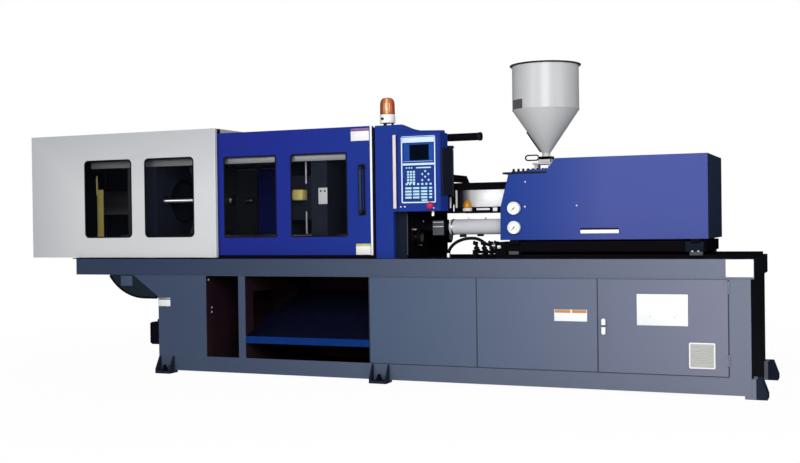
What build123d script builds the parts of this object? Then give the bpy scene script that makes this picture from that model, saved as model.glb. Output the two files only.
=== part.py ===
from build123d import *
import os
from math import cos, hypot, radians, sin, sqrt

# Horizontal injection moulding machine with a toggle clamp at the left and a plasticising unit at
# the right. X runs along the machine, Y to its back, Z up. The origin lies on the floor, at half the
# overall length, on the centre line. All sizes are millimetres. A size named rise is a height over
# the piece that carries its group: the bed's top, the machine's axis, the housing or the cover.

# Overall
slip = 0.05
running = 0.08
gap = 0.3
bite = 1

# Bed: two long rails on a lower body with open bays
bed_margin = 105
bed_top = 845
rail_height = 122
rail_depth = 175
rail_wall = 10
base_overhang = 750
base_setback = 20
base_wall = 8
bay_lip = 14
partition_margin = 120
foot_plate = 20
sill_height = 110
pedestal_length = 415
side_bay_length = 272
bay_post = 56
drop_bay_length = 981
drop_bay_lap = 41
panel_lengths = (774, 804, 798)
end_post = 130
panel_joint = 3
panel_depth = 20
panel_sheet = 2
lock_inset = 39
lock_height = 420
lock_barrel = 30
lock_handle = 100
lock_handle_width = 24
lock_collar = 8
lock_body = 16
lock_cam = (18, 4, 30)
louvre_inset = 233
louvre_length = 146
louvre_rise = 54
louvre_pitch = 21
louvre_slit = 9
louvre_rows = 7
knuckle = 10
knuckle_length = 60
knuckle_leaf = 22
knuckle_rise = 70
knuckle_drop = 83
pan_drop = 170
pan_flat = 125
pan_radius = 384
chute_rise = 108
chute_drop = 163
chute_lip = 50
chute_side = 60
chute_setback = 6
chute_rear_gap = 8
chute_sheet = 4
tank_setback = 30
tank_length = 640
tank_width = 660
tank_top = 420
tank_lid_inset = 60
tank_lid_length = 300
tank_lid = 16
filler_inset = 520
filler_y = -120
filler_height = 80
filler_diameter = 70
pump_gap = 90
pump_length = 110
pump_diameter = 130
pump_block = 70
motor_height = 300
pump_motor_diameter = 240
pump_motor_length = 510
motor_rib = 6
motor_rib_count = 12
motor_rib_height = 18
motor_rib_margin = 90
motor_foot = 60
motor_foot_width = 220
motor_foot_inset = 120
device_plate = 4
device_plate_y = -60
device_plate_margin = 60
device_plate_rise = 20
device_plate_drop = 23
device_inset = 90
device_gap = 12
device_counts = (9, 6, 2)
device_rises = (410, 270, 30)
device_sizes = ((54, 80, 90), (86, 95, 80), (190, 150, 170))
duct_rises = (360, 225)
duct = 30
duct_depth = 50
duct_inset = 80
bracket = 30
junction_depth = 88
junction_bottom = 203
junction_top = 369
junction_inset = 35
junction_width = 140
cable_insets = (70, 130)
cable_gland = 24
cable_gland_height = 20
wear_strip_back = 218
wear_strip_front = 158
ear_length = 224
ear_drop = 162

# Feet with anchor holes
end_foot_reach = 70
side_foot_reach = 66
foot_width = 128
foot_rise = 125
foot_inset = 40
foot_gusset = 10
foot_lip = 12
end_gusset_top = 57
anchor_hole = 26
anchor_inset = 32
left_foot_inset = 73
middle_foot_inset = 81

# Platens and tie bars
platen_margin = 80
fixed_platen_margin = 110
platen_height_margin = 140
platen_round = 25
tie_bar_spacing = 580
tie_bar_diameter = 70
tie_nut_diameter = 106
tie_nut_length = 64
tie_bar_thread = 110
fixed_platen_face = 200
fixed_platen_depth = 205
mould_daylight = 418
moving_plate_depth = 127
moving_box_spare = 98
moving_box_inset = 10
moving_box_wall = 40
moving_box_waist = 160
tie_bar_passage = 100
moving_back_depth = 50
tailstock_depth = 200
tailstock_bore = 300
locating_bore = 125
locating_depth = 40
sprue_cone_small = 150
sprue_cone_large = 330
mould_hole = 16
mould_hole_depth = 45
mould_pitch = 280
platen_lift = 5

# Toggle: equal rear and front links, folding inwards, mirrored above and below the axis
link_length = 360
pivot_rise = 90
rest_fold = 12
open_fold = 44
pivot_setback = 180
front_pivot_setback = 145
link_plate = 40
rear_link_inset = 120
front_link_inset = 77
link_arm = 190
arm_lead = 16.2
cross_link_length = 150
cross_link_gap = 10
tail_eye = 55
knee_eye = 42
front_eye = 50
arm_eye = 34
cross_eye = 32
tail_pin = 60
knee_pin = 48
front_pin = 56
arm_pin = 40
cross_pin = 40
eye_step = 5
pin_head = 4
web_knee_share = 0.45
web_arm_share = 0.6
open_pivot_clearance = 0.3
tie_tube = 60
lug_plate = 40
lug_play = 2

# Crosshead, its guide rods and the clamp cylinder
crosshead_length = 80
crosshead_play = 5
crosshead_margin = 42
crosshead_round = 24
wing_length = 60
wing_round = 20
wing_span = 590
wing_height = 64
guide_rod_diameter = 44
guide_rod_offset = 265
guide_rod_reach = 480
guide_rod_collar = 74
guide_rod_collar_depth = 16
slot_play = 2.5
piston_rod_diameter = 70
stud_diameter = 56
stud_reach = 30
stud_nut_diameter = 86
stud_nut_length = 26
piston_diameter = 150
piston_length = 60
piston_setback = 338
cylinder_wall = 20
cylinder_length = 518
cylinder_flange = 370
cylinder_flange_depth = 40
cylinder_cap = 20
cylinder_gland = 20
gear_case_depth = 60
gear_case_round = 90
die_motor_diameter = 120
die_motor_length = 150

# Ejector
ejector_stroke = 100
ejector_plate_depth = 30
ejector_plate_width = 360
ejector_plate_height = 174
ejector_plate_round = 20
ejector_plate_gap = 10
ejector_cap = 15
ejector_pin_setback = 4
ejector_pin = 30
ejector_pin_spacing = 140
ejector_cylinder_diameter = 110
ejector_cylinder_length = 130
ejector_rod = 32

# Guards round the clamp
guard_length = 1680
guard_reach = 75
guard_depth = 30
guard_bottom_rise = 8
guard_clearance = 87
guard_sheet = 2
guard_flange = 18
guard_leg = 80
guard_leg_inset = 20
guard_door_lap = 146
vent_rise = 247
vent_pitch = 120
vent_count = 4
vent_height = 40
vent_width = 320
window_bottom_rise = 163
window_top_drop = 205
window_radius = 30
guard_window_insets = ((512, 939), (1065, 1491))
pane = 5
pane_lap = 14
header_drop = 62
header_gap = 7

# Sliding doors
door_length = 1384
door_gap = 28
door_reach = 35
door_depth = 28
door_bottom_rise = 23
door_clearance = 52
door_sheet = 2
door_flange = 20
door_window_insets = ((198, 625), (750, 1186))
door_window_bottom_rise = 157
door_window_top_drop = 180
handle_inset = 79
handle_width = 26
handle_bottom_rise = 300
handle_top_rise = 651
handle_reach = 36
handle_bar = 12
handle_foot = 22
handle_round = 18
door_rail_gap = 2
door_rail_depth = 18
door_rail_drop = 70
door_rail_height = 30
hanger_length = 120
hanger_inset = 40
hanger_top = 14
door_guide = 16
door_guide_gap = 2

# Portal cover round the fixed platen
portal_lap = 9
portal_width = 130
portal_reach = 45
portal_leg = 43
portal_beam = 46
portal_round = 6
portal_clearance = 50
cover_sheet = 3
cover_lip = 3
cover_mouth = 60
slot_depth = 12

# Control housing
housing_offset = 59
housing_width = 310
housing_reach = 105
housing_depth = 150
housing_rise = 320
housing_height = 527
housing_round = 12
shroud_depth = 40
shroud_fall = 6
shoulder_inset = 10
step_inset = 120
shroud_drop = 46
bezel_inset = 32
bezel_width = 246
bezel_rise = 56
bezel_height = 450
bezel_depth = 5
bezel_rim = 7
bezel_seat = 1.5
bezel_recess = 2
screen_recess = 4
header_height = 41
divider_height = 17
divider_rise = 252
screen_inset = 58
screen_width = 143
screen_rise = 286
screen_height = 108
stop_inset = 241
stop_rise = 36
stop_diameter = 50
stop_collar = 34
stop_stem = 22
stop_travel = 6
stop_collar_reach = 8
stop_head = 16
stop_chamfer = 5
stop_stem_reach = 24
key_inset = 242
key_setback = 35
key_barrel = 20
key_barrel_reach = 24
key_barrel_lip = 8
key_blade = (16, 3, 25)
trim_offset = 5
trim_width = 24
trim_bottom_rise = 341
trim_drop = 70
trim_depth = 10
arm_overhang = 15
arm_back_inset = 100
arm_bottom_rise = 428
arm_top_rise = 742
arm_knob = 44
arm_knob_inset = 8
arm_knob_height = 22
arm_gap = 20
boom_length = 520
boom_drop = 96
boom_diameter = 52

# Beacon
beacon_inset = 71
beacon_setback = 60
beacon_diameter = 108
beacon_leg_height = 18
beacon_base_height = 58
beacon_lens_height = 118
beacon_leg = 12
beacon_leg_inset = 20
beacon_leg_count = 3
beacon_leg_turn = 30
lens_step = 3
lens_shoulder = (5, 34)
lens_crown = (14, 12)
lens_top = 32

# Plasticising unit
carriage_travel = 280
cover_lead = 226
cover_length = 1349
cover_half = 355
cover_rise = 120
cover_height = 534
cover_low_height = 449
cover_step_height = 469
cover_knee_height = 219
cover_slope = 63
cover_step_reach = 330
cover_high_reach = 381
slot_inset = 541
slot_width = 247
slot_rise = 40
slot_height = 23
gauge_inset = 101
gauge_rises = (83, 211)
gauge_diameter = 84
gauge_depth = 26
gauge_spindle = 6
gauge_rim = 5
dial_depth = 9
spindle_seat = 16
needle_setback = 5
needle_thickness = 1.5
needle_margin = 12
needle_half = 4
needle_tail = 12
needle_rest = 225
throat_reach = 876
feed_length = 200
feed_width = 300
wing_margin = 20
seat_wing_height = 80
tray_drop = 32
tray_thickness = 4
tray_margin = 40
tray_inset = 8
cover_bracket = 60
cover_bracket_inset = 30
cover_bracket_drop = 20
cover_bracket_rise = 40
base_well_inset = 220
base_well_margin = 80
feed_top_rise = 160
feed_bottom_rise = 110
barrel_diameter = 110
barrel_bore = 45
barrel_inlet = 42
nozzle_length = 85
barrel_tail = 139
band_diameter = 136
band_length = 120
band_pitch = 170
band_lead = 70
band_count = 4
nozzle_gap = 5
nozzle_diameter = 60
nozzle_bore = 6
nozzle_cone_length = 20
nozzle_tip_diameter = 28
bore_step = 5
band_box = (20, 28, 8)
screw_lead = 15
screw_flight = 12
screw_cone_length = 34
screw_cone_step = 8
screw_point = 4
check_ring_lead = 62
check_ring_length = 22
shank_lead = 60
barrel_guard_lap = 14
barrel_guard_half = 120
guard_rail = 14
guard_rail_depth = 9
transducer_lead = 170
transducer_tail = 262
transducer_depth = 26
transducer_low = 18
transducer_high = 34
plug_lead = 292
plug_tail = 205
plug_depth = 34
plug_low = 9
plug_high = 38
beam_bottom_rise = 32
beam_top_rise = 81
guard_rail_drop = 130
lamp_lead = 109
lamp_diameter = 58
lamp_rise = 44
lamp_dome_top = 29
lamp_base = 30
lamp_gap = 6
lamp_shelf = 20
base_lead = 35
base_tail = 19
base_half = 325
base_rise = 40
carriage_rail_half = 320
carriage_rail_width = 36
carriage_rail_height = 22
rail_lead = 70
rail_tail = 5
shoe_length = 72
shoe_width = 68
shoe_inset = 30
manifold_lead = 55
manifold_front = 300
manifold_back = 260
stub_count = 2
stub_y = -250
stub_lead = 160
stub_pitch = 60
stub_block = 26
stub_height = 52
stub_pipe = 20
stub_pipe_rise = 38
manifold_length = 80
manifold_gap = 52
hose_run = 352
hose_y = -252
hose_diameter = 22
hose_port = 80
hose_points = ((0, 0), (0, 46), (36, 92), (92, 122), (160, 134), (226, 128), (286, 80))
seat_cylinder_inset = 100
seat_cylinder_lift = 65
seat_cylinder_diameter = 106
seat_cylinder_gap = 10
seat_flange_diameter = 124
seat_flange = 26
seat_cap = 50
seat_head_lead = 245
seat_eye_lead = 125
seat_eye_length = 85
seat_stay_diameter = 60
seat_rod_gap = 45
seat_rod_diameter = 40
shot_cylinder_y = 235
shot_cylinder_diameter = 130
shot_cylinder_length = 319
shot_rod_diameter = 50
shot_flange = 30
shot_flange_diameter = 160
shot_cap = 40
shot_rod_gap = 45
thrust_depth = 70
thrust_width = 600
thrust_height = 250
thrust_round = 30
bearing_diameter = 150
bearing_length = 60
shank_depth = 28
shot_travel = 180
thrust_clearance = 50
motor_diameter = 190
motor_length = 185
motor_port = (20, 70, 80, 26)

# Hopper and slide gate
hopper_diameter = 456
cone_height = 295
hopper_cylinder_height = 310
hopper_rim = 492
hopper_rim_height = 10
hopper_sheet = 3
throat_diameter = 50
neck_length = 23
gate_block = 90
base_plate_thickness = 12
gate_block_height = 44
base_plate_length = 140
base_plate_width = 100
base_plate_shift = -16
stand_foot = 24
stand_foot_width = 80
stand_foot_inset = 22
hopper_stand = 36
gate_thickness = 8
gate_width = 80
gate_wall = 8
gate_end_gap = 10
gate_rise = 22
gate_handle_setback = 152
gate_handle_length = 102
gate_handle_height = 44
gate_handle_bar = 9
gate_handle_thickness = 10
gate_handle_rise = 12
gate_handle_overlap = 6

# Purge guard at the nozzle
purge_reach = 257
purge_half = 180
purge_top_rise = 142
purge_low_rise = 84
purge_slope = 22
purge_drop = 130
purge_hinge_diameter = 24
purge_pin_diameter = 12
purge_gap = 20
purge_return = 10
purge_beam_gap = 6
knuckle_width = 30
knuckle_lead = 20
knuckle_tail = 60

# Derived sizes of the platens, which set the width and height of bed, doors and guards
tie_offset = tie_bar_spacing / 2
platen_width = tie_bar_spacing + 2 * platen_margin
platen_height = tie_bar_spacing + 2 * platen_height_margin
fixed_platen_width = tie_bar_spacing + 2 * fixed_platen_margin
moving_box_width = tie_bar_spacing - 2 * moving_box_inset
fixed_platen_half = fixed_platen_width / 2
platen_bottom = bed_top + platen_lift
platen_top = platen_bottom + platen_height
axis_height = platen_bottom + platen_height / 2

# Derived places: bed and feet
drop_bay_x1 = fixed_platen_face - drop_bay_lap
drop_bay_x0 = drop_bay_x1 - drop_bay_length
side_bay_x1 = drop_bay_x0 - bay_post
side_bay_x0 = side_bay_x1 - side_bay_length
base_x0 = side_bay_x0 - pedestal_length
base_x1 = drop_bay_x1 + sum(panel_lengths) + end_post
bed_left = base_x0 - base_overhang
bed_right = base_x1 + base_setback
bed_half = fixed_platen_half + bed_margin
machine_right = bed_right + end_foot_reach
rail_bottom = bed_top - rail_height
opening_bottom = foot_plate + sill_height
louvre_bottom = opening_bottom + louvre_rise
knuckle_heights = (opening_bottom + knuckle_rise, rail_bottom - knuckle_drop)
chute_low = opening_bottom + chute_rise
chute_high = rail_bottom - chute_drop
left_foot_x = base_x0 + left_foot_inset
middle_foot_x = drop_bay_x1 + middle_foot_inset

# Derived places: platens and toggle
pivot_height = tie_offset + pivot_rise
rear_link_plane = tie_offset - rear_link_inset
cross_link_plane = rear_link_plane - link_plate - cross_link_gap
crosshead_width = 2 * (cross_link_plane - link_plate / 2 - crosshead_play)
front_link_plane = tie_offset - front_link_inset
fixed_platen_back = fixed_platen_face + fixed_platen_depth
moving_platen_face = fixed_platen_face - mould_daylight
moving_box_depth = ejector_plate_gap + ejector_plate_depth + ejector_stroke + moving_box_spare
moving_back_face = moving_platen_face - moving_plate_depth
moving_box_back = moving_back_face - moving_box_depth
moving_rear_face = moving_box_back - moving_back_depth
front_pivot_x = moving_rear_face - front_pivot_setback
knee_x = front_pivot_x - link_length * cos(radians(rest_fold))
knee_drop = link_length * sin(radians(rest_fold))
tail_pivot_x = 2 * knee_x - front_pivot_x
tailstock_face = tail_pivot_x - pivot_setback
arm_x = tail_pivot_x + link_arm * sin(radians(arm_lead))
arm_drop = link_arm * cos(radians(arm_lead))
crosshead_x = arm_x + cross_link_length
arm_swing = max(abs(arm_lead + rest_fold), abs(arm_lead - open_fold))
slot_high = pivot_height - link_arm * cos(radians(arm_swing))
slot_low = pivot_height - link_arm
piston_place = tailstock_face - piston_setback
wear_strip_left = tailstock_face - tailstock_depth - wear_strip_back
wear_strip_right = moving_platen_face + wear_strip_front

# Derived places: doors, guard and control housing
door_rail_front = fixed_platen_half + door_rail_gap
door_front = fixed_platen_half + door_reach
portal_front = fixed_platen_half + portal_reach
guard_front = fixed_platen_half + guard_reach
housing_front = fixed_platen_half + housing_reach
header_half = door_rail_front - header_gap
portal_left = fixed_platen_face - portal_lap
portal_right = portal_left + portal_width
door_right = portal_left - door_gap
door_left = door_right - door_length
handle_x = door_right - handle_inset
guard_right = door_left + guard_door_lap
machine_left = guard_right - guard_length
guard_windows = [(machine_left + left, machine_left + right) for left, right in guard_window_insets]
door_windows = [(door_left + left, door_left + right) for left, right in door_window_insets]
guard_bottom = bed_top + guard_bottom_rise
guard_top = platen_top + guard_clearance
window_bottom = bed_top + window_bottom_rise
window_top = guard_top - window_top_drop
door_bottom = bed_top + door_bottom_rise
door_top = platen_top + door_clearance
door_window_bottom = bed_top + door_window_bottom_rise
door_window_top = door_top - door_window_top_drop
handle_bottom = bed_top + handle_bottom_rise
handle_top = bed_top + handle_top_rise
door_rail_bottom = platen_top - door_rail_drop
portal_top = platen_top + portal_clearance
beacon_x = portal_left + beacon_inset
beacon_y = portal_front - beacon_setback
trim_left = portal_right + trim_offset
housing_left = portal_right + housing_offset
housing_bottom = bed_top + housing_rise
shroud_shoulder = housing_left + shoulder_inset
shroud_step = housing_left + step_inset
shroud_step_height = portal_top - shroud_drop
bezel_left = housing_left + bezel_inset
bezel_bottom = housing_bottom + bezel_rise
divider_bottom = bezel_bottom + divider_rise
screen_left = bezel_left + screen_inset
screen_bottom = bezel_bottom + screen_rise
stop_x = housing_left + stop_inset
stop_z = housing_bottom + stop_rise
key_x = housing_left + key_inset
key_y = housing_front - key_setback
trim_bottom = bed_top + trim_bottom_rise
trim_top = portal_top - trim_drop
arm_right = housing_left + housing_width + arm_overhang
arm_back = fixed_platen_half - arm_back_inset
arm_bottom = bed_top + arm_bottom_rise
arm_top = bed_top + arm_top_rise
boom_end = fixed_platen_back + boom_length
boom_z = portal_top - boom_drop
boom_y = housing_front - housing_depth - boom_diameter / 2 - gap

# Derived places: plasticising unit and hopper
throat_x = fixed_platen_back + throat_reach
feed_top = axis_height + feed_top_rise
feed_bottom = bed_top + feed_bottom_rise
cover_left = throat_x - cover_lead
cover_right = cover_left + cover_length
cover_bottom = bed_top + cover_rise
cover_top = cover_bottom + cover_height
cover_low_top = cover_bottom + cover_low_height
cover_step = cover_bottom + cover_step_height
cover_knee = cover_bottom + cover_knee_height
cover_low_left = cover_left + cover_slope
cover_step_right = cover_left + cover_step_reach
cover_high_left = cover_left + cover_high_reach
slot_left = cover_left + slot_inset
slot_bottom = cover_bottom + slot_rise
gauge_x = cover_left + gauge_inset
gauge_heights = [cover_bottom + rise for rise in gauge_rises]
nozzle_tip = fixed_platen_face + locating_depth + nozzle_gap
barrel_front = nozzle_tip + nozzle_length
barrel_back = throat_x + barrel_tail
band_start = barrel_front + band_lead
screw_tip = barrel_front + screw_lead
purge_right = fixed_platen_back + purge_reach
purge_top = axis_height + purge_top_rise
purge_low_top = axis_height + purge_low_rise
purge_bottom = axis_height - purge_drop
purge_pin_z = purge_top - purge_hinge_diameter / 2
barrel_guard_left = purge_right - barrel_guard_lap
guard_beam_bottom = axis_height + beam_bottom_rise
guard_beam_top = axis_height + beam_top_rise
guard_rail_bottom = axis_height - guard_rail_drop
lamp_x = barrel_guard_left + lamp_lead
base_left = cover_left + base_lead
base_right = cover_right - base_tail
base_bottom = bed_top + base_rise
shoe_places = (base_left + shoe_inset, base_right - shoe_inset - shoe_length)
carriage_rail_left = base_left - rail_lead
carriage_rail_right = base_right + carriage_travel + rail_tail
manifold_left = cover_left - manifold_lead
hose_start = manifold_left - hose_run
seat_cylinder_y = tie_offset - seat_cylinder_inset
seat_cylinder_z = axis_height - tie_offset + seat_cylinder_lift
seat_cylinder_end = base_left - seat_cylinder_gap
seat_head = fixed_platen_back + seat_head_lead
manifold_top = seat_cylinder_z - seat_cylinder_diameter / 2 - manifold_gap
shot_cylinder_end = throat_x + feed_length / 2 + shot_cylinder_length
thrust_left = shot_cylinder_end + shot_travel + thrust_clearance
base_plate_bottom = feed_top + hopper_stand
gate_block_bottom = base_plate_bottom + base_plate_thickness
gate_bottom = gate_block_bottom + gate_rise
cone_bottom = gate_block_bottom + gate_block_height + neck_length
hopper_cylinder_bottom = cone_bottom + cone_height
hopper_top = hopper_cylinder_bottom + hopper_cylinder_height
gate_handle_left = throat_x - gate_handle_setback


os.makedirs("parts", exist_ok=True)


def block(x0, x1, y0, y1, z0, z1):
    """Rectangular block between two opposite corners."""
    return Pos((x0 + x1) / 2, (y0 + y1) / 2, (z0 + z1) / 2) * Box(x1 - x0, y1 - y0, z1 - z0)


def rod_x(x0, x1, y, z, diameter):
    """Round rod along X."""
    return Pos((x0 + x1) / 2, y, z) * Rot(0, 90, 0) * Cylinder(diameter / 2, x1 - x0)


def rod_y(x, y0, y1, z, diameter):
    """Round rod along Y."""
    return Pos(x, (y0 + y1) / 2, z) * Rot(90, 0, 0) * Cylinder(diameter / 2, y1 - y0)


def rod_z(x, y, z0, z1, diameter):
    """Round rod along Z."""
    return Pos(x, y, (z0 + z1) / 2) * Cylinder(diameter / 2, z1 - z0)


def plate_xz(points, y0, y1):
    """Flat plate with a polygon outline in the XZ plane, from y0 to y1."""
    outline = make_face(Polyline(*[(x, z) for x, z in points], close=True))
    return extrude(Plane(origin=(0, y0, 0), x_dir=(1, 0, 0), z_dir=(0, -1, 0)) * outline, -(y1 - y0))


def plate_yz(points, x0, x1):
    """Flat plate with a polygon outline in the YZ plane, from x0 to x1."""
    outline = make_face(Polyline(*points, close=True))
    return extrude(Plane(origin=(x0, 0, 0), x_dir=(0, 1, 0), z_dir=(1, 0, 0)) * outline, x1 - x0)


def link_bar(p, q, r_p, r_q, y0, y1):
    """Link plate between two eyes: two discs joined by their outer tangents, from y0 to y1."""
    dx = q[0] - p[0]
    dz = q[1] - p[1]
    length = hypot(dx, dz)
    across = (-dz / length, dx / length)
    lean = (r_p - r_q) / length
    rise = sqrt(1 - lean * lean)
    along = (dx / length, dz / length)
    corners = []
    for (cx, cz), radius, side in ((p, r_p, 1), (q, r_q, 1), (q, r_q, -1), (p, r_p, -1)):
        nx = across[0] * rise * side + along[0] * lean
        nz = across[1] * rise * side + along[1] * lean
        corners.append((cx + nx * radius, cz + nz * radius))
    bar = plate_xz(corners, y0, y1)
    return bar + rod_y(p[0], y0, y1, p[1], 2 * r_p) + rod_y(q[0], y0, y1, q[1], 2 * r_q)


def both_sides(shape):
    """The shape and its mirror image across the machine's centre plane."""
    return [shape, mirror(shape, about=Plane.XZ)]


def upside(shape):
    """Mirror image of a clamp part across the horizontal plane through the machine's axis."""
    return mirror(shape, about=Plane.XY.offset(axis_height))


def save(name, *pieces):
    """Write the pieces of one node, each as its own solid, to a file."""
    solids = [solid for piece in pieces for solid in piece.solids()]
    export_step(Compound(solids) if len(solids) > 1 else solids[0], f"parts/{name}.step")


def bed_rails():
    """Ladder frame: two channels, open to the inside, joined by cross plates and a rear deck."""
    ladder = None
    for side in (-1, 1):
        outer = sorted((side * bed_half, side * (bed_half - rail_depth)))
        rail = block(bed_left, bed_right, *outer, rail_bottom, bed_top)
        hollow = sorted((side * (bed_half - rail_wall), side * (bed_half - rail_depth - bite)))
        rail -= block(bed_left + rail_wall, bed_right - rail_wall, *hollow,
                      rail_bottom + rail_wall, bed_top - rail_wall)
        ladder = rail if ladder is None else ladder + rail
    inner = bed_half - rail_wall
    for x in (bed_left, base_x0, drop_bay_x0 - bay_post, drop_bay_x1, bed_right - rail_wall):
        ladder += block(x, x + rail_wall, -inner, inner, rail_bottom, bed_top)
    ladder += block(drop_bay_x1, bed_right, -inner, inner, bed_top - rail_wall, bed_top)
    return ladder


def bed_base():
    """Lower body: floor plate, end walls, partitions and side walls with open bays."""
    outer = block(base_x0, base_x1, -bed_half, bed_half, foot_plate, rail_bottom)
    hollow = block(base_x0 + base_wall, base_x1 - base_wall, -bed_half + base_wall,
                   bed_half - base_wall, foot_plate + base_wall, rail_bottom + bite)
    body = outer - hollow
    for x0, x1 in ((side_bay_x0, side_bay_x1), (drop_bay_x0, drop_bay_x1)):
        body -= block(x0, x1, -bed_half - bite, bed_half - base_wall, opening_bottom, rail_bottom + bite)
    for x0, x1 in bay_spans():
        lip = bay_lip
        body -= block(x0 + lip, x1 - lip, -bed_half - bite, bed_half + bite, opening_bottom + lip,
                      rail_bottom - lip)
        for side in (-1, 1):
            y = sorted((side * (bed_half - panel_depth - gap), side * (bed_half + bite)))
            body -= block(x0, x1, *y, opening_bottom, rail_bottom + bite)
            seat = sorted((side * (bed_half - panel_depth - gap),
                           side * (bed_half - panel_depth - base_wall)))
            frame = block(x0, x1, *seat, opening_bottom - lip, rail_bottom)
            frame -= block(x0 + lip, x1 - lip, -bed_half, bed_half, opening_bottom + lip, rail_bottom - lip)
            body += frame
    for x in (side_bay_x0 - base_wall, side_bay_x1, drop_bay_x0 - base_wall):
        body += block(x, x + base_wall, -bed_half, bed_half, foot_plate, rail_bottom)
    recess = bed_half - panel_depth - gap
    body += block(drop_bay_x1, drop_bay_x1 + base_wall, -recess, recess, foot_plate, rail_bottom)
    for x in (side_bay_x1, drop_bay_x0 - base_wall):
        body -= block(x - bite, x + base_wall + bite, -bed_half + partition_margin,
                      bed_half - partition_margin, opening_bottom + partition_margin,
                      rail_bottom - partition_margin)
    for side in (-1, 1):
        y = sorted((side * bed_half, side * (bed_half - base_wall)))
        body += block(side_bay_x1, drop_bay_x0, *y, foot_plate, rail_bottom)
        ear = [(base_x0 - ear_length, rail_bottom), (base_x0, rail_bottom), (base_x0, rail_bottom - ear_drop)]
        body += plate_xz(ear, *y)
    return body


def anchor_foot():
    """Welded foot: base plate with an anchor hole and two triangular gussets, reaching to minus Y."""
    half = foot_width / 2
    plate = block(-half, half, -side_foot_reach, foot_inset, 0, foot_plate)
    plate -= rod_z(0, -side_foot_reach + anchor_inset, -1, foot_plate + bite, anchor_hole)
    web = [(0, foot_plate), (0, foot_rise), (-foot_lip, foot_rise), (-side_foot_reach, foot_plate + foot_lip),
           (-side_foot_reach, foot_plate)]
    for x in (-half, half - foot_gusset):
        plate += plate_yz(web, x, x + foot_gusset)
    return plate


def end_foot():
    """Short foot at the bed's right end, reaching to plus X."""
    half = foot_width / 2
    reach = machine_right - base_x1
    plate = block(-foot_inset, reach, -half, half, 0, foot_plate)
    plate -= rod_z(reach - anchor_inset, 0, -1, foot_plate + bite, anchor_hole)
    web = [(0, foot_plate), (reach, foot_plate), (reach, foot_plate + foot_lip), (end_gusset_top, foot_rise),
           (0, foot_rise)]
    for y in (-half, half - foot_gusset):
        plate += plate_xz(web, y, y + foot_gusset)
    return plate


def anchor_feet():
    """Four side feet and two end feet."""
    feet = []
    for x in (left_foot_x, middle_foot_x):
        feet += both_sides(Pos(x, -bed_half, 0) * anchor_foot())
    feet += both_sides(Pos(base_x1, -bed_half + foot_width / 2, 0) * end_foot())
    return feet


def belly_pan():
    """Sheet tray under the overhanging rails: a short flat floor that curves up to the rails."""
    half = bed_half - base_wall - gap
    x0 = base_x0 - pan_flat
    x1 = base_x0 - gap
    floor = rail_bottom - pan_drop
    curve = rod_y(x0, -half, half, floor + pan_radius, 2 * pan_radius)
    pan = curve & block(x0 - pan_radius, x0, -half, half, floor, rail_bottom)
    pan += block(x0, x1, -half, half, floor, rail_bottom)
    top = pan.faces().sort_by(Axis.Z)[-1]
    return offset(pan, amount=-cover_sheet, openings=top)


def panel_tray(x0, x1):
    """Sheet panel with folded edges, for one bay of the bed, on the front side."""
    x0 += panel_joint / 2
    x1 -= panel_joint / 2
    z0 = opening_bottom + panel_joint / 2
    z1 = rail_bottom - panel_joint / 2
    tray = block(x0, x1, -bed_half, -bed_half + panel_depth, z0, z1)
    tray -= block(x0 + panel_sheet, x1 - panel_sheet, -bed_half + panel_sheet, -bed_half + panel_depth + bite,
                  z0 + panel_sheet, z1 - panel_sheet)
    return tray


def bay_spans():
    """X limits of the three panelled bays."""
    spans = []
    left = drop_bay_x1
    for length in panel_lengths:
        spans.append((left, left + length))
        left += length
    return spans


def service_panels():
    """Two bolted panels at the front and three at the back."""
    spans = bay_spans()
    front = [panel_tray(*span) for span in spans[:2]]
    back = [mirror(panel_tray(*span), about=Plane.XZ) for span in spans]
    return front + back


def cabinet_door():
    """Right-hand front door with louvres and hinge knuckles on its right edge."""
    x0, x1 = bay_spans()[2]
    door = panel_tray(x0, x1)
    door -= rod_y(x0 + lock_inset, -bed_half - bite, -bed_half + panel_depth, lock_height,
                  lock_barrel + 2 * slip)
    louvre_left = x1 - louvre_inset
    for row in range(louvre_rows):
        z = louvre_bottom + row * louvre_pitch
        door -= block(louvre_left, louvre_left + louvre_length, -bed_half - bite, -bed_half + panel_depth, z,
                      z + louvre_slit)
    knuckle_y = -bed_half - knuckle / 2 - gap
    for z in knuckle_heights:
        door += rod_z(x1 + panel_joint / 2, knuckle_y, z, z + knuckle_length, knuckle)
        door += block(x1 - knuckle_leaf, x1 - panel_joint / 2, knuckle_y, -bed_half, z, z + knuckle_length)
    return door


def cabinet_lock():
    """Quarter-turn lock: barrel through the door with a flat handle and a cam behind."""
    x = bay_spans()[2][0] + lock_inset
    lock = rod_y(x, -bed_half - lock_collar, -bed_half + lock_body, lock_height, lock_barrel)
    half = lock_handle / 2
    half_width = lock_handle_width / 2
    handle = block(x - half_width, x + half_width, -bed_half - 2 * lock_collar, -bed_half - lock_collar,
                   lock_height - half, lock_height + half)
    handle = fillet(handle.edges().filter_by(Axis.Y), half_width - 2)
    width, thickness, reach = lock_cam
    cam = block(x - width / 2, x + width / 2, -bed_half + lock_body - 2 - thickness,
                -bed_half + lock_body - 2, lock_height - width, lock_height + reach)
    return lock + handle + cam


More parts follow.
